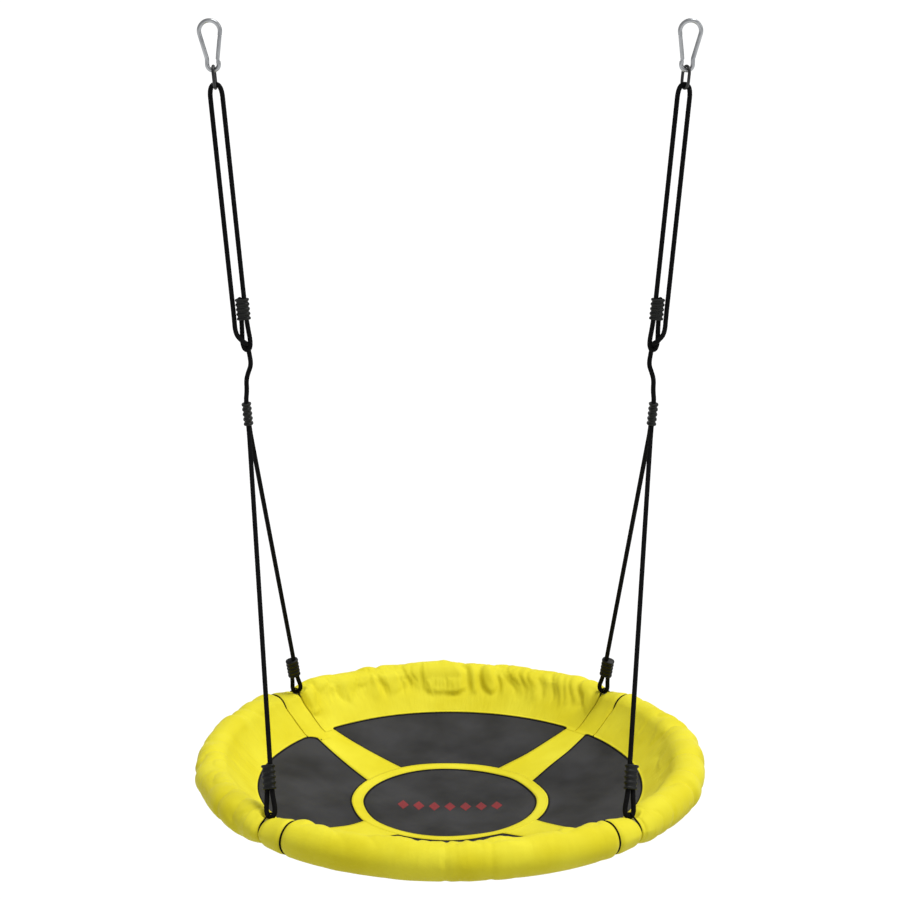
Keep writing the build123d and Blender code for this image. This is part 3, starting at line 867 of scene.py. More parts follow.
    def seamed(self, points: np.ndarray) -> np.ndarray:
        """Draws the cloth in along each seam."""
        out = points.copy()
        azimuth = np.degrees(np.arctan2(out[..., 1], out[..., 0]))
        r = np.hypot(out[..., 0], out[..., 1])
        radial, height = r - RING_R, out[..., 2] - RIM_Z
        for seam in self.seams:
            off = np.radians((azimuth - seam + 180) % 360 - 180) * RING_R
            share = 1 - 0.055 * np.exp(-(off / 0.0034) ** 2) * (radial > -0.030)
            radial, height = radial * share, height * share
        turn = (RING_R + radial) / r
        return np.stack([out[..., 0] * turn, out[..., 1] * turn, RIM_Z + height], axis=-1)

    def dimpled(self, points: np.ndarray) -> np.ndarray:
        """Sinks the cloth round each rope eye, with a little room for the eye to tilt."""
        out = points.copy()
        for eye in EYES:
            q = out - np.array(eye.bow)
            along, across = np.array(eye.along), np.array(eye.across)
            third = np.cross(along, across)
            s, t1, t2 = q @ along, q @ across, q @ third
            e = np.sqrt((t1 / DENT_WIDE) ** 2 + (t2 / DENT_DEEP) ** 2)
            w = np.clip((1.3 - e) / 0.45, 0, 1)
            w = w * w * (3 - 2 * w) * (np.abs(s) < 0.045)
            drop = np.minimum(s, DENT_FLOOR + 0.004 * e * e) - s
            out = out + along * (drop * w)[..., None]
        return out

    def build(self, ride: str, stands_for: Sequence[str]) -> bpy.types.Object:
        """Builds the stretch as one closed padded form.

        Args:
            ride: The body that it moves with.
            stands_for: The CAD nodes that it replaces.

        Returns:
            The piece.
        """
        points, uv = self.settled()
        points = self.dimpled(self.seamed(points))
        count_u, count_v = points.shape[:2]
        mesh_points = points.reshape(-1, 3)
        faces = grid_faces(count_u, count_v, wrap=True)
        caps, cap_uv = [], []
        total = count_u * count_v
        for column, flip in ((0, False), (count_u - 1, True)):
            centre = points[column].mean(axis=0)
            edge = math.radians(self.start if column == 0 else self.stop)
            across = np.array((-math.sin(edge), math.cos(edge), 0.0))
            flat = points[column] - np.outer((points[column] - centre) @ across, across)
            flat = flat - across * (centre @ across)
            middle = centre - across * (centre @ across)
            first = total + len(caps)
            for share in (0.90, 0.50):
                caps += list(flat * share + middle * (1 - share))
                cap_uv += list(uv[column])
            caps.append(middle)
            cap_uv.append(uv[column, 0])
            hub = first + 2 * count_v
            for j in range(count_v):
                k = (j + 1) % count_v
                ring = [(column * count_v + j, first + j, first + k, column * count_v + k),
                        (first + j, first + count_v + j, first + count_v + k, first + k),
                        (first + count_v + j, hub, first + count_v + k)]
                faces += [face[::-1] for face in ring] if flip else ring
        every = np.concatenate([mesh_points, np.array(caps)])
        every_uv = np.concatenate([uv.reshape(-1, 2), np.array(cap_uv)])
        piece = outward(mesh_piece(self.name, every, faces, self.finish, every_uv))
        subdivided(piece)
        placed(piece, ride, "yellow_cloth", *stands_for)
        LOG.info("%s: %d faces", self.name, len(piece.data.polygons))
        return piece


def gathers(strength: dict[str, float]) -> Callable[[np.ndarray, np.ndarray], np.ndarray]:
    """How much longer the cloth is cut than the rim it covers, by place.

    Args:
        strength: Share of extra length on the inner, top, outer and under side.

    Returns:
        A function of azimuth and of the angle round the section, both in degrees.
    """
    def share(azimuth: np.ndarray, theta: np.ndarray) -> np.ndarray:
        """The extra share at each place."""
        at = [-150, -60, 0, 50, 95, 150, 200, 215]
        values = [0.0, strength["under"], strength["outer"], strength["outer"], strength["top"],
                  strength["inner"], strength["inner"], 0.0]
        drift = 1 + 0.35 * np.sin(np.radians(azimuth * 7.3)) * np.sin(np.radians(azimuth * 3.1 + 40))
        return np.interp(theta, at, values) * drift

    return share


@dataclass
class PaddedRim:
    """The four covered stretches of rim and the four bands between them."""

    finishes: Finishes
    slit: float = 0.24         # degrees from a strop's middle to the cloth beside it
    cord: float = 7.0          # degrees from a strop's middle to the band's drawcord side
    cord_room: float = 0.38

    def edge(self, eye: Eye, band: bool, at_cord: bool) -> float:
        """Azimuth of a cloth edge beside a strop or its drawcord."""
        sign = eye.band_sign
        if at_cord:
            return eye.azimuth + sign * (self.cord if band else self.cord + self.cord_room)
        return eye.azimuth + sign * (self.slit if band else -self.slit)

    def build(self) -> None:
        """Builds every stretch."""
        by_name = {eye.name: eye for eye in EYES}
        around = {"right": ("right_front", "right_back"), "back": ("right_back", "left_back"),
                  "left": ("left_back", "left_front"), "front": ("left_front", "right_front")}
        strength = {"back": dict(inner=0.14, top=0.11, outer=0.05, under=0.02),
                    "left": dict(inner=0.02, top=0.045, outer=0.07, under=0.04),
                    "right": dict(inner=0.035, top=0.055, outer=0.08, under=0.04),
                    "front": dict(inner=0.08, top=0.05, outer=0.012, under=0.01)}
        for k, (name, corners) in enumerate(around.items()):
            one, two = (by_name[corner] for corner in corners)
            start = self.edge(one, False, one.band_sign > 0)
            stop = self.edge(two, False, two.band_sign < 0)
            stop = start + (stop - start) % 360
            cover = RimCover(f"{name}_rim_pad", start, stop,
                             Edge.CORD if one.band_sign > 0 else Edge.SLIT,
                             Edge.CORD if two.band_sign < 0 else Edge.SLIT,
                             self.finishes.yellow, gathers(strength[name]), seed=11 + k,
                             fold_w=0.034 if name in ("back", "front") else 0.042,
                             seams=(-90.9, -81.5) if name == "front" else ())
            cover.build("seat", [f"{name}_cover", f"{name}_foam"])
        for eye in EYES:
            near, far = self.edge(eye, True, False), self.edge(eye, True, True)
            low, high = min(near, far), max(near, far)
            edges = (Edge.SLIT, Edge.CORD) if low == near else (Edge.CORD, Edge.SLIT)
            band = RimCover(f"{eye.name}_band_wrap", low, high, *edges, self.finishes.yellow_flat, pitch=0.0035)
            band.build("seat", [f"{eye.name}_band"])


# --------------------------------------------------------------------------- mat


@dataclass
class Mat:
    """The sagging mat: four dark panels, a centre panel, the hub ring and four arms."""

    finishes: Finishes
    cloth: float = 1.2 * MM

    def thin(self, name: str, xy: np.ndarray, lift: float, finish: bpy.types.Material, wrap: bool = False,
             thickness: float | None = None) -> bpy.types.Object:
        """Lays a grid of cloth on the mat's surface and gives it its thickness.

        Args:
            name: The piece's name.
            xy: Rows by columns of points in plan.
            lift: Height above the mat's top face.
            finish: Its finish.
            wrap: Whether each row closes on itself.
            thickness: The cloth's thickness, or the mat's own.

        Returns:
            The piece, as a closed thin shell.
        """
        z = mat_height(xy[..., 0], xy[..., 1]) + lift
        points = np.concatenate([xy, z[..., None]], axis=-1)
        rows, columns = xy.shape[:2]
        piece = mesh_piece(name, points.reshape(-1, 3), grid_faces(rows, columns, wrap), finish, xy.reshape(-1, 2))
        return walled(piece, thickness or self.cloth)

    def panel_xy(self, middle: float, under: float, rows: int = 30, columns: int = 56) -> np.ndarray:
        """A panel's grid in plan, carried a little under the yellow cloth round it.

        Args:
            middle: Azimuth of its middle, in degrees.
            under: How far it runs on under its neighbours, in metres.
            rows: Rows from the hub ring outwards.
            columns: Columns from arm to arm.

        Returns:
            The grid's points.
        """
        out = []
        for r in np.linspace(HUB_R - under, BORDER_R + under, rows):
            half = math.radians(45) - arm_half_angle(r, under)
            a = math.radians(middle) + np.linspace(-half, half, columns)
            out.append(np.stack([r * np.cos(a), r * np.sin(a)], axis=-1))
        return np.array(out)

    def binding_xy(self, middle: float, width: float = 3.4 * MM) -> np.ndarray:
        """A narrow near-black strip that runs all round a panel's visible edge."""
        corners = []
        low, high = HUB_R + 0.0002, BORDER_R
        for kind in range(4):      # hub ring, one arm, border, the other arm
            for t in np.linspace(0, 1, 60)[:-1]:
                if kind in (0, 2):
                    r = low if kind == 0 else high
                    half = math.radians(45) - arm_half_angle(r)
                    a = math.radians(middle) + (half * (2 * t - 1) if kind == 0 else half * (1 - 2 * t))
                    if kind == 2:
                        r = border_radius(math.degrees(a)) + 0.0002
                else:
                    r = low + (high - low) * t if kind == 1 else high - (high - low) * t
                    half = math.radians(45) - arm_half_angle(r)
                    a = math.radians(middle) + (half if kind == 1 else -half)
                    r = min(r, border_radius(math.degrees(a)))
                corners.append((r * math.cos(a), r * math.sin(a)))
        edge = np.array(corners)
        ahead, behind = np.roll(edge, -3, axis=0), np.roll(edge, 3, axis=0)
        run = ahead - behind
        run /= np.maximum(np.linalg.norm(run, axis=1), 1e-9)[:, None]
        inner = edge + np.stack([-run[:, 1], run[:, 0]], axis=-1) * width
        outer = edge - np.stack([-run[:, 1], run[:, 0]], axis=-1) * 0.0030
        return np.array([outer, inner])

    def panels(self) -> None:
        """Builds the four dark panels, each with a near-black strip along its edge."""
        for name, middle in (("right", 0), ("back", 90), ("left", 180), ("front", 270)):
            xy = self.panel_xy(middle, 0.007)
            panel = self.thin(f"{name}_mat_panel", xy, 0.0, self.finishes.grey)
            placed(panel, "seat", "grey_cloth", f"{name}_panel")
            # a near-black strip along the panel's edge, where it meets the yellow
            tape = self.binding_xy(middle)
            self.bind(f"{name}_panel_binding", tape)

    def bind(self, name: str, tape: np.ndarray) -> None:
        """Lays a near-black strip whose two edges are given in plan."""
        edge = self.thin(name, tape, 0.0007, self.finishes.binding, wrap=True, thickness=0.0007)
        placed(edge, "seat", "grey_cloth")

    @staticmethod
    def plan_area(xy: np.ndarray) -> float:
        """Area of a grid in plan, in square metres."""
        a, b = xy[1:, :-1] - xy[:-1, :-1], xy[:-1, 1:] - xy[:-1, :-1]
        c, d = xy[:-1, 1:] - xy[1:, 1:], xy[1:, :-1] - xy[1:, 1:]
        one = np.abs(a[..., 0] * b[..., 1] - a[..., 1] * b[..., 0])
        two = np.abs(c[..., 0] * d[..., 1] - c[..., 1] * d[..., 0])
        return float((one + two).sum() / 2)

    def centre(self) -> None:
        """Builds the round centre panel, its plain printed motif and the hub ring."""
        angles = np.linspace(0, math.tau, 121)[:-1]
        radii = np.linspace(0.0015, DISC_R + SEAM_UNDER, 26)
        xy = circles(radii, angles)
        points = np.concatenate([xy, mat_height(xy[..., 0], xy[..., 1])[..., None]], axis=-1).reshape(-1, 3)
        points = np.concatenate([points, [[0, 0, height_at(0.0, 0.0)]]])
        faces = grid_faces(len(radii), len(angles), wrap=True)
        faces += [(len(points) - 1, (k + 1) % 120, k) for k in range(120)]
        disc = outward(mesh_piece("centre_mat_panel", points, faces, self.finishes.grey, points[:, :2]))
        walled(disc, self.cloth)
        placed(disc, "seat", "grey_cloth", "centre_panel")
        ring = self.thin("hub_tape", circles(np.linspace(DISC_R, HUB_R, 7), angles), 0.0016,
                         self.finishes.yellow_flat, wrap=True)
        placed(ring, "seat", "yellow_cloth", "hub_ring")
        self.motif()
        # a near-black strip round the centre panel's edge
        self.bind("disc_binding", circles((DISC_R - 0.0034, DISC_R + 0.003), angles))

    def motif(self) -> None:
        """Prints a plain row of equal lozenges across the centre panel."""
        points, faces, uv = [], [], []
        for k in range(7):
            x0, y0 = (k - 3) * 0.029, 0.002
            wide, tall = 0.0105, 0.019
            ring = [(x0 - wide, y0), (x0, y0 - tall), (x0 + wide, y0), (x0, y0 + tall)]
            first = len(points)
            for lift in (0.0003, -0.0002):
                points += [(x, y, height_at(x, y) + lift) for x, y in ring]
                uv += ring
            faces += [(first, first + 1, first + 2, first + 3), (first + 7, first + 6, first + 5, first + 4)]
            faces += [(first + j, first + 4 + j, first + 4 + (j + 1) % 4, first + (j + 1) % 4) for j in range(4)]
        printed = outward(mesh_piece("centre_motif", np.array(points), faces, self.finishes.print, np.array(uv)))
        printed.data.polygons.foreach_set("use_smooth", [False] * len(printed.data.polygons))
        placed(printed, "seat", "grey_cloth")

    def arms(self) -> None:
        """Builds the four arms, from the hub ring out over the border."""
        for eye in EYES:
            rows = []
            for r in np.linspace(HUB_R - 0.014, BORDER_R + SEAM_UNDER, 26):
                half = arm_half_angle(r)
                a = eye.arm_turn + np.linspace(-half, half, 12)
                rows.append(np.stack([r * np.cos(a), r * np.sin(a)], axis=-1))
            xy = np.array(rows)
            arm = self.thin(f"{eye.name}_arm_strip", xy, 0.0013, self.finishes.yellow_flat)
            placed(arm, "seat", "yellow_cloth", f"{eye.name}_arm")

    def border(self) -> None:
        """Builds the strip that joins mat and rim, which the rim's covers are sewn over."""
        xy = circles(np.linspace(BORDER_R - 0.001, BORDER_FOOT, 8), np.linspace(0, math.tau, 181)[:-1])
        z = RIM_Z + BORDER_Z + 0.0011 + BORDER_SLOPE * (np.hypot(xy[..., 0], xy[..., 1]) - BORDER_R)
        points = np.concatenate([xy, z[..., None]], axis=-1).reshape(-1, 3)
        strip = mesh_piece("border_strip", points, grid_faces(8, 180, wrap=True), self.finishes.yellow_flat,
                           points[:, :2])
        walled(strip, self.cloth)
        placed(strip, "seat", "yellow_cloth", "mat_border")

    def build(self) -> None:
        """Builds the whole mat."""
        self.border()
        self.panels()
        self.centre()
        self.arms()
        LOG.info("mat: panels, centre, hub ring and arms")


# ------------------------------------------------------------------------ ropes


def smooth_line(points: Sequence[Vector], spacing: float) -> np.ndarray:
    """Points close together on the smooth curve that a route's points control.

    Args:
        points: The route.
        spacing: Wanted distance between the points, in metres.

    Returns:
        The curve's points.
    """
    curve = bpy.data.curves.new("route", "CURVE")
    curve.dimensions = "3D"
    curve.resolution_u = 24
    spline = curve.splines.new("NURBS")
    spline.points.add(len(points) - 1)
    for node, p in zip(spline.points, points):
        node.co = (*p, 1.0)
    spline.order_u = 3
    spline.use_endpoint_u = True
    holder = bpy.data.objects.new("route", curve)
    bpy.context.scene.collection.objects.link(holder)
    graph = bpy.context.evaluated_depsgraph_get()
    mesh = bpy.data.meshes.new_from_object(holder.evaluated_get(graph), depsgraph=graph)
    line = np.array([v.co for v in mesh.vertices])
    bpy.data.objects.remove(holder)
    bpy.data.curves.remove(curve)
    bpy.data.meshes.remove(mesh)
    step = np.linalg.norm(np.diff(line, axis=0), axis=1)
    at = np.concatenate([[0.0], np.cumsum(step)])
    keep = np.concatenate([[True], step > 1e-9])
    wanted = np.linspace(0, at[-1], max(int(at[-1] / spacing), 8) + 1)
    return np.stack([np.interp(wanted, at[keep], line[keep, k]) for k in range(3)], axis=-1)


@dataclass
class Cord:
    """A round braided cord along a smooth route."""

    name: str
    route: Sequence[Vector]
    diameter: float
    finish: bpy.types.Material
    spacing: float = 1.0 * MM
    around: int = 24
    strands: int = 8           # strands that cross round the cord each way
    relief: float = 0.24 * MM  # height of a strand's crown
    swell: float = 1.0         # loose yarn stands off the cord by this share

    def build(self) -> tuple[bpy.types.Object, np.ndarray]:
        """Builds the cord with a rounded tip at each end.

        Returns:
            The piece and the points of its centreline.
        """
        line = smooth_line(self.route, self.spacing)
        tangent = np.gradient(line, axis=0)
        tangent /= np.linalg.norm(tangent, axis=1)[:, None]
        side = np.zeros_like(line)
        first = np.cross(tangent[0], (0.31, 0.85, 0.12))
        side[0] = first / np.linalg.norm(first)
        for i in range(1, len(line)):
            s = side[i - 1] - tangent[i] * (side[i - 1] @ tangent[i])
            side[i] = s / np.linalg.norm(s)
        other = np.cross(tangent, side)
        at = np.concatenate([[0.0], np.cumsum(np.linalg.norm(np.diff(line, axis=0), axis=1))])
        angle = np.linspace(0, math.tau, self.around + 1)[:-1]
        pitch = math.pi * self.diameter / self.strands
        turn = self.strands * angle[None, :]
        run = math.tau * at[:, None] / (2 * pitch)
        one, two = np.cos((turn + run) / 2), np.cos((turn - run) / 2)
        height = np.maximum(np.abs(one), np.abs(two)) - 0.75
        radius = self.diameter / 2 * self.swell - self.relief / 2 + self.relief * height * 2
        tip = np.minimum(at, at[-1] - at) / (self.diameter / 2)
        radius = radius * np.sqrt(np.clip(1 - (1 - np.clip(tip, 0.02, 1)) ** 2, 0, 1))[:, None]
        ring = (line[:, None, :] + side[:, None, :] * (radius * np.cos(angle))[..., None]
                + other[:, None, :] * (radius * np.sin(angle))[..., None])
        points = np.concatenate([ring.reshape(-1, 3), [line[0], line[-1]]])
        rows = len(line)
        faces = [tuple(reversed(f)) for f in grid_faces(rows, self.around, wrap=True)]
        faces += tip_faces(rows, self.around)
        uv = np.stack([np.broadcast_to(angle * self.diameter / 2, (rows, self.around)),
                       np.broadcast_to(at[:, None], (rows, self.around))], axis=-1).reshape(-1, 2)
        uv = np.concatenate([uv, [[0, 0], [0, at[-1]]]])
        piece = outward(mesh_piece(self.name, points, faces, self.finish, uv))
        LOG.info("%s: %.0f mm long, %.1f mm thick", self.name, at[-1] * 1000, self.diameter * 1000)
        return piece, line


def mirrored(points: Iterable[Vector], side: Side) -> list[Vector]:
    """A left line's points, mirrored for the right line."""
    sign = -side.value
    return [Vector((p.x * sign, p.y, p.z)) for p in points]


@dataclass
class HangingLine:
    """One side's ropes: the long loop that sets the height, and the two legs to the rim."""

    side: Side
    finishes: Finishes
    rope: float = 7.5 * MM

    def leg(self, end: End) -> list[Vector]:
        """Route of a left leg, from under the apex ferrule round its eye and back into its ferrule."""
        eye = Eye(Side.LEFT, end)
        top, low = apex_point(end.value * 3.9, -5.5), eye.at(3.9, 94)
        run = low - top
        return [top, top + run * (0.049 / run.length), low - run * (0.051 / run.length), low, eye.at(3.9, 43),
                eye.at(10.6, 0), eye.at(-10.6, 0), eye.at(-3.9, 43), eye.at(-3.9, 87)]

    def loop(self) -> list[Vector]:
        """Route of the left loop, from inside its adjuster ferrule to the bend under it."""
        return [lean_point(*p) for p in (
            (2.7, 0, -362), (2.7, 0, -404), (-2.0, 0, -456.7), (15.2, 0, -456.7), (10.5, 0, -404),
            (10.5, 0, -351), (10.5, 0, -40), (10.5, 0, 6.9), (-10.5, 0, 6.9), (-10.5, 0, -40), (-10.5, 0, -366),
            (-10.5, 0, -396), (-10.2, -8.6, -424), (-1.5, -10.2, -437), (6.8, -7.5, -444), (6.8, 8.8, -448),
            (8.6, 9.2, -467), (10.4, 1.5, -484), (4.2, 0, -497), (-0.9, 0, -510.5), (-1.4, -1.6, -529))]

    def build(self) -> None:
        """Builds the main rope and the back leg."""
        word = self.side.word
        route = mirrored([*self.loop(), apex_point(-3.9, 43), *self.leg(End.FRONT)], self.side)
        main, line = Cord(f"{word}_main_rope", route, self.rope, self.finishes.rope, swell=1.15).build()
        legs = "seat" if self.side is Side.LEFT else "right_legs"
        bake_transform(main)
        self.declare([f"{word}_loop_rope", f"{word}_front_rope"])
        route = mirrored([apex_point(3.9, 39), *self.leg(End.BACK)], self.side)
        back, line = Cord(f"{word}_back_leg", route, self.rope, self.finishes.rope, swell=1.15).build()
        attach(back, legs)
        self.declare([f"{word}_back_rope"])

    def declare(self, stands_for: Sequence[str]) -> None:
        """Hides the CAD ropes that a cord stands for; both of the cord's ends are in ferrules."""
        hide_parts(*stands_for)


@dataclass
class RimCords:
    """The strop that carries each eye and the drawcord beside each band."""

    finishes: Finishes
    strop: float = 3.0 * MM
    drawcord: float = 3.0 * MM

    def strop_route(self, eye: Eye) -> list[Vector]:
        """Once round the tube and up through the eye, its ends side by side under the tube."""
        top = eye.strop_top
        radial, height = math.hypot(top.x, top.y) - RING_R, top.z - RIM_Z
        reach, toward = math.hypot(radial, height), math.atan2(height, radial)
        out = []
        half = ((11, reach / MM + 0.6), (30, 20.5), (66, 20.0), (100, 20.2), (140, 20.2), (172, 19.4))
        for angle, distance in (*((-a, d) for a, d in reversed(half)), *half):
            a = toward + math.radians(angle)
            out.append(rim_point(eye.azimuth, distance * MM * math.cos(a), distance * MM * math.sin(a)))
        return out

    def drawcord_route(self, eye: Eye) -> list[Vector]:
        """Round the padded rim in the groove beside the band."""
        azimuth = eye.azimuth + eye.band_sign * 7.19
        out = []
        for a in np.linspace(172, -100, 18):
            reach = float(pad_radius(np.array(azimuth), np.array(a))) - 0.0028
            out.append(rim_point(azimuth, float(pad_centre(np.array(azimuth))) + reach * math.cos(math.radians(a)),
                                 reach * math.sin(math.radians(a))))
        return out

    def build(self) -> None:
        """Builds the cords of all four corners."""
        for eye in EYES:
            for kind, route, size in (("strop", self.strop_route(eye), self.strop),
                                      ("drawcord", self.drawcord_route(eye), self.drawcord)):
                piece, line = Cord(f"{eye.name}_{kind}_cord", route, size, self.finishes.rope,
                                   around=16, relief=0.12 * MM).build()
                placed(piece, "seat", "black_cord", f"{eye.name}_{kind}")


# --------------------------------------------------------------------- hardware


@dataclass
class Hardware:
    """Hooks, links, ferrules, tubes and screws: CAD shapes in their real finishes."""

    finishes: Finishes
    ribs: int = 5
    rib_half: float = 2.2 * MM             # from a ferrule's end to its first rib's middle
    rib_reach: float = 2.7 * MM
    half_size: tuple[float, float] = (10.5 * MM, 6.7 * MM)     # between the ribs
    rib_rise: tuple[float, float] = (1.9 * MM, 1.8 * MM)

    def build(self) -> None:
        """Builds the ferrules and gives every CAD node that stays its finish."""
        self.sleeves()
        for name, node in frame["nodes"].items():
            if "carabiner" in name or name.endswith(("rivet", "spring")) or name == "frame_screws":
                finish = self.finishes.zinc
            elif name.endswith("_link"):
                finish = self.finishes.black_steel
            elif name.endswith("frame_tube"):
                finish = self.finishes.tube
            else:
                continue
            node.data.materials.clear()
            node.data.materials.append(finish)
        LOG.info("hardware: finishes given")

    def sleeves(self) -> None:
        """Builds every moulded ferrule in place of its square-edged CAD form."""
        for side in Side:
            flip = np.array([-side.value, 1, 1])
            lean = (np.array(lean_point(0, 0, 1)) - np.array(lean_point(0, 0, 0))) / MM
            wide = (np.array(lean_point(1, 0, 0)) - np.array(lean_point(0, 0, 0))) / MM
            up = (np.array(apex_point(0, 1)) - np.array(apex_point(0, 0))) / MM
            self.sleeve(f"{side.word}_adjuster_ferrule", np.array(lean_point(6.6, 0, -403)) * flip, lean * flip,
                        wide * flip, 0.038)
            self.sleeve(f"{side.word}_apex_ferrule", np.array(apex_point(0, 0)) * flip, up * flip,
                        np.array((0.0, 1, 0)), 0.040)
            for eye in (Eye(side, end) for end in End):
                self.sleeve(f"{eye.name}_ferrule", np.array(eye.at(0, 46)), np.array(eye.along),
                            np.array(eye.across), 0.042)

    def sleeve(self, node: str, foot: np.ndarray, along: np.ndarray, across: np.ndarray, length: float) -> None:
        """Builds one ferrule: a flattened sleeve with five rounded ribs.

        Args:
            node: The CAD node that it stands for.
            foot: Middle of its lower end.
            along: Direction of its length.
            across: Direction of its width.
            length: Its length, in metres.
        """
        third = np.cross(along, across)
        rows, around, pitch = 85, 40, (length - 2 * self.rib_half) / (self.ribs - 1)
        turn = np.linspace(0, math.tau, around + 1)[:-1]
        points, uv = [], []
        for s in np.linspace(0, length, rows):
            near = min(abs(s - self.rib_half - k * pitch) for k in range(self.ribs))
            bump = max(0.0, 1 - (near / self.rib_reach) ** 2) ** 0.5
            ends = min(s, length - s)
            bump *= min(1.0, 0.55 + ends / 0.002)
            half_w, half_d = (half + rise * bump for half, rise in zip(self.half_size, self.rib_rise))
            inset = 0.0007 * max(0.0, 1 - ends / 0.0008) ** 2
            for a in turn:
                x = math.copysign(abs(math.cos(a)) ** 0.72, math.cos(a)) * (half_w - inset)
                y = math.copysign(abs(math.sin(a)) ** 0.82, math.sin(a)) * (half_d - inset)
                points.append(foot + along * s + across * x + third * y)
                uv.append((a * 0.01, s))
        faces = grid_faces(rows, around, wrap=True) + tip_faces(rows, around)
        points += [foot, foot + along * length]
        uv += [(0, 0), (0, length)]
        piece = outward(mesh_piece(f"{node}_moulding", np.array(points), faces, self.finishes.plastic, np.array(uv)))
        placed(piece, frame["nodes"][node]["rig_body"], "ferrule_plastic", node)


# --------------------------------------------------------------------- stitches


@dataclass
class Stitching:
    """Rows of lockstitch, laid along sewn edges by a node tree."""

    finishes: Finishes
    pitch: float = 3.6 * MM
    length: float = 2.6 * MM
    thick: float = 0.7 * MM

    def tree(self) -> bpy.types.NodeTree:
        """Builds the tree that sets one thread loop every pitch along the edges of a mesh."""
        tree = bpy.data.node_groups.new("lockstitch", "GeometryNodeTree")
        face = tree.interface
        face.new_socket("Geometry", in_out="INPUT", socket_type="NodeSocketGeometry")
        for name, value in (("Pitch", self.pitch), ("Stitch length", self.length), ("Thread", self.thick)):
            socket = face.new_socket(name, in_out="INPUT", socket_type="NodeSocketFloat")
            socket.default_value = value
        face.new_socket("Finish", in_out="INPUT", socket_type="NodeSocketMaterial")
        face.new_socket("Geometry", in_out="OUTPUT", socket_type="NodeSocketGeometry")
        given = add_node(tree, "NodeGroupInput").outputs
        path = add_node(tree, "GeometryNodeMeshToCurve", {"Mesh": given["Geometry"]})
        spaced = add_node(tree, "GeometryNodeResampleCurve", {"Curve": path.outputs[0], "Length": given["Pitch"]},
                          mode="LENGTH")
        ball = add_node(tree, "GeometryNodeMeshUVSphere", {"Segments": 6, "Rings": 4, "Radius": 0.5})
        size = add_node(tree, "ShaderNodeCombineXYZ",
                        {0: given["Stitch length"], 1: given["Thread"], 2: given["Thread"]})
        shaped = add_node(tree, "GeometryNodeTransform", {"Geometry": ball.outputs["Mesh"], "Scale": size.outputs[0]})
        along = add_node(tree, "GeometryNodeInputTangent")
        turned = add_node(tree, "FunctionNodeAlignRotationToVector", {"Vector": along.outputs[0]}, axis="X")
        laid = add_node(tree, "GeometryNodeInstanceOnPoints",
                        {"Points": spaced.outputs[0], "Instance": shaped.outputs[0], "Rotation": turned.outputs[0]})
        real = add_node(tree, "GeometryNodeRealizeInstances", {0: laid.outputs[0]})
        shade = add_node(tree, "GeometryNodeSetShadeSmooth", {0: real.outputs[0]})
        dressed = add_node(tree, "GeometryNodeSetMaterial", {"Geometry": shade.outputs[0], "Material": given["Finish"]})
        add_node(tree, "NodeGroupOutput", {0: dressed.outputs[0]})
        return tree

    def seams(self) -> list[np.ndarray]:
        """The lines that are sewn on the mat: both edges of the hub ring and both edges of each arm."""
        out = []
        turns = np.linspace(0, math.tau, 241)
        for r, lift in ((DISC_R + 0.003, 0.0018), (HUB_R - 0.003, 0.0018)):
            out.append(np.array([(r * math.cos(a), r * math.sin(a), lift) for a in turns]))
        for eye in EYES:
            for sign in (-1, 1):
                rows = []
                for r in np.linspace(HUB_R + 0.002, BORDER_R - 0.006, 24):
                    a = eye.arm_turn + sign * arm_half_angle(r, 0.0035)
                    rows.append((r * math.cos(a), r * math.sin(a), 0.0015))
                out.append(np.array(rows))
        return out

    def build(self) -> None:
        """Lays every row and turns the result into one plain mesh."""
        points, edges = [], []
        for seam in self.seams():
            z = mat_height(seam[:, 0], seam[:, 1]) + seam[:, 2]
            first = len(points)
            points += [(x, y, h) for (x, y, _), h in zip(seam, z)]
            edges += [(first + k, first + k + 1) for k in range(len(seam) - 1)]
        for k in range(4):
            first = len(points)
            angles = [k * 90 - 44 + t for t in np.linspace(5, 83, 120)]
            for angle in angles:
                r = border_radius(angle) + 0.0045
                a = math.radians(angle)
                x, y = r * math.cos(a), r * math.sin(a)
                base = height_at(x, y) if r < BORDER_R else RIM_Z + BORDER_Z + BORDER_SLOPE * (r - BORDER_R)
                z = base + 0.0026
                points.append((x, y, z))
            edges += [(first + j, first + j + 1) for j in range(len(angles) - 1)]
        mesh = bpy.data.meshes.new("seam_stitches")
        mesh.from_pydata(points, edges, [])
        piece = bpy.data.objects.new("seam_stitches", mesh)
        bpy.context.scene.collection.objects.link(piece)
        tree = self.tree()
        modifier = piece.modifiers.new("lockstitch", "NODES")
        modifier.node_group = tree
        wanted = {"Pitch": self.pitch, "Stitch length": self.length, "Thread": self.thick,
                  "Finish": self.finishes.thread}
        for item in tree.interface.items_tree:
            if item.in_out == "INPUT" and item.name in wanted:
                modifier[item.identifier] = wanted[item.name]
        made_plain(piece)
        placed(piece, "seat", "yellow_cloth")
        LOG.info("stitches: %d faces", len(piece.data.polygons))


# ----------------------------------------------------------------------- studio


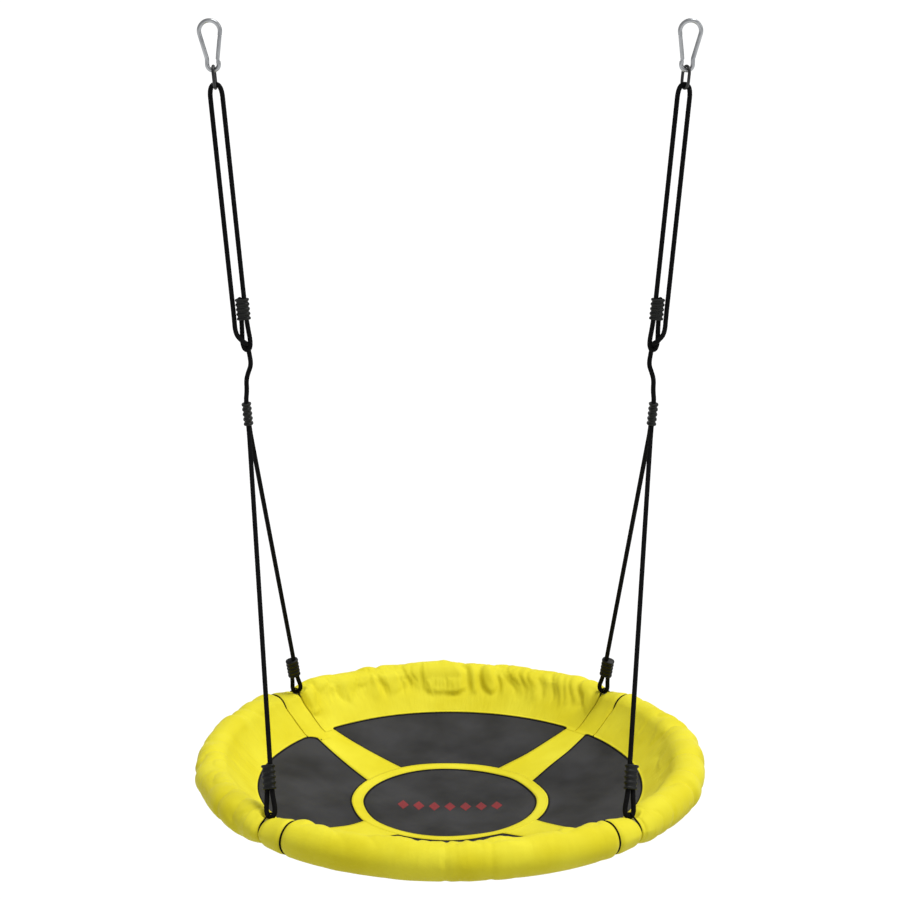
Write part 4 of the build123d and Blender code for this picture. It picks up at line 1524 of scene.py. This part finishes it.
@dataclass
class Studio:
    """Pale floor, soft lights and the camera."""

    floor_z: float = -2.25
    reach: float = 200.0                       # half width of the floor
    eye: tuple[float, float, float] = (0, -3.585, 0.10612)
    tilt: float = 13.37                        # degrees that the camera looks down
    lens: float = 82.72

    def floor(self) -> None:
        """A wide pale floor that runs on behind the swing."""
        material = bpy.data.materials.new("pale_paper_floor")
        material.use_nodes = True
        shader = material.node_tree.nodes["Principled BSDF"]
        shader.inputs["Base Color"].default_value = linear("#FFFFFF")
        shader.inputs["Roughness"].default_value = 1.0
        shader.inputs["Specular IOR Level"].default_value = 0.0
        corners = [(x * self.reach, y * self.reach, self.floor_z) for x, y in ((-1, -1), (1, -1), (1, 1), (-1, 1))]
        floor = mesh_piece("floor", np.array(corners), [(0, 1, 2, 3)], material)
        floor.visible_diffuse = False      # so that undersides keep their shade

    def light(self, name: str, toward: Sequence[float], spread: float, power: float) -> None:
        """Adds a soft light from far away.

        Args:
            name: The light's name.
            toward: The direction that it shines in.
            spread: How wide it looks from the swing, in degrees.
            power: Its strength.
        """
        data = bpy.data.lights.new(name, "SUN")
        data.angle, data.energy = math.radians(spread), power
        lamp = bpy.data.objects.new(name, data)
        lamp.rotation_mode = "QUATERNION"
        lamp.rotation_quaternion = Vector(toward).to_track_quat("-Z", "Y")
        bpy.context.scene.collection.objects.link(lamp)

    def build(self) -> None:
        """Sets up the whole studio."""
        self.floor()
        world = bpy.data.worlds.new("studio")
        bpy.context.scene.world = world
        world.use_nodes = True
        sky = world.node_tree.nodes["Background"]
        sky.inputs["Color"].default_value = linear("#FFFFFF")
        sky.inputs["Strength"].default_value = 0.50
        self.light("overhead", (-0.36, 0.02, -1.0), 20, 1.80)
        self.light("right", (-0.9, 0.45, -0.5), 20, 0.30)
        data = bpy.data.cameras.new("camera")
        data.lens, data.sensor_width = self.lens, 36.0
        data.clip_start, data.clip_end = 0.05, 200
        camera = bpy.data.objects.new("camera", data)
        camera.location = self.eye
        camera.rotation_euler = (math.radians(90 - self.tilt), 0, 0)
        bpy.context.scene.collection.objects.link(camera)
        bpy.context.scene.camera = camera
        bpy.context.scene.view_settings.view_transform = "Standard"


def main() -> None:
    """Builds the swing and its studio in order."""
    logging.basicConfig(level=logging.INFO, format="%(name)s %(message)s")
    Studio().build()
    finishes = Finishes()
    for side in Side:
        HangingLine(side, finishes).build()
    RimCords(finishes).build()
    PaddedRim(finishes).build()
    Mat(finishes).build()
    Stitching(finishes).build()
    Hardware(finishes).build()
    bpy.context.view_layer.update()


if __name__ == "__main__":
    main()
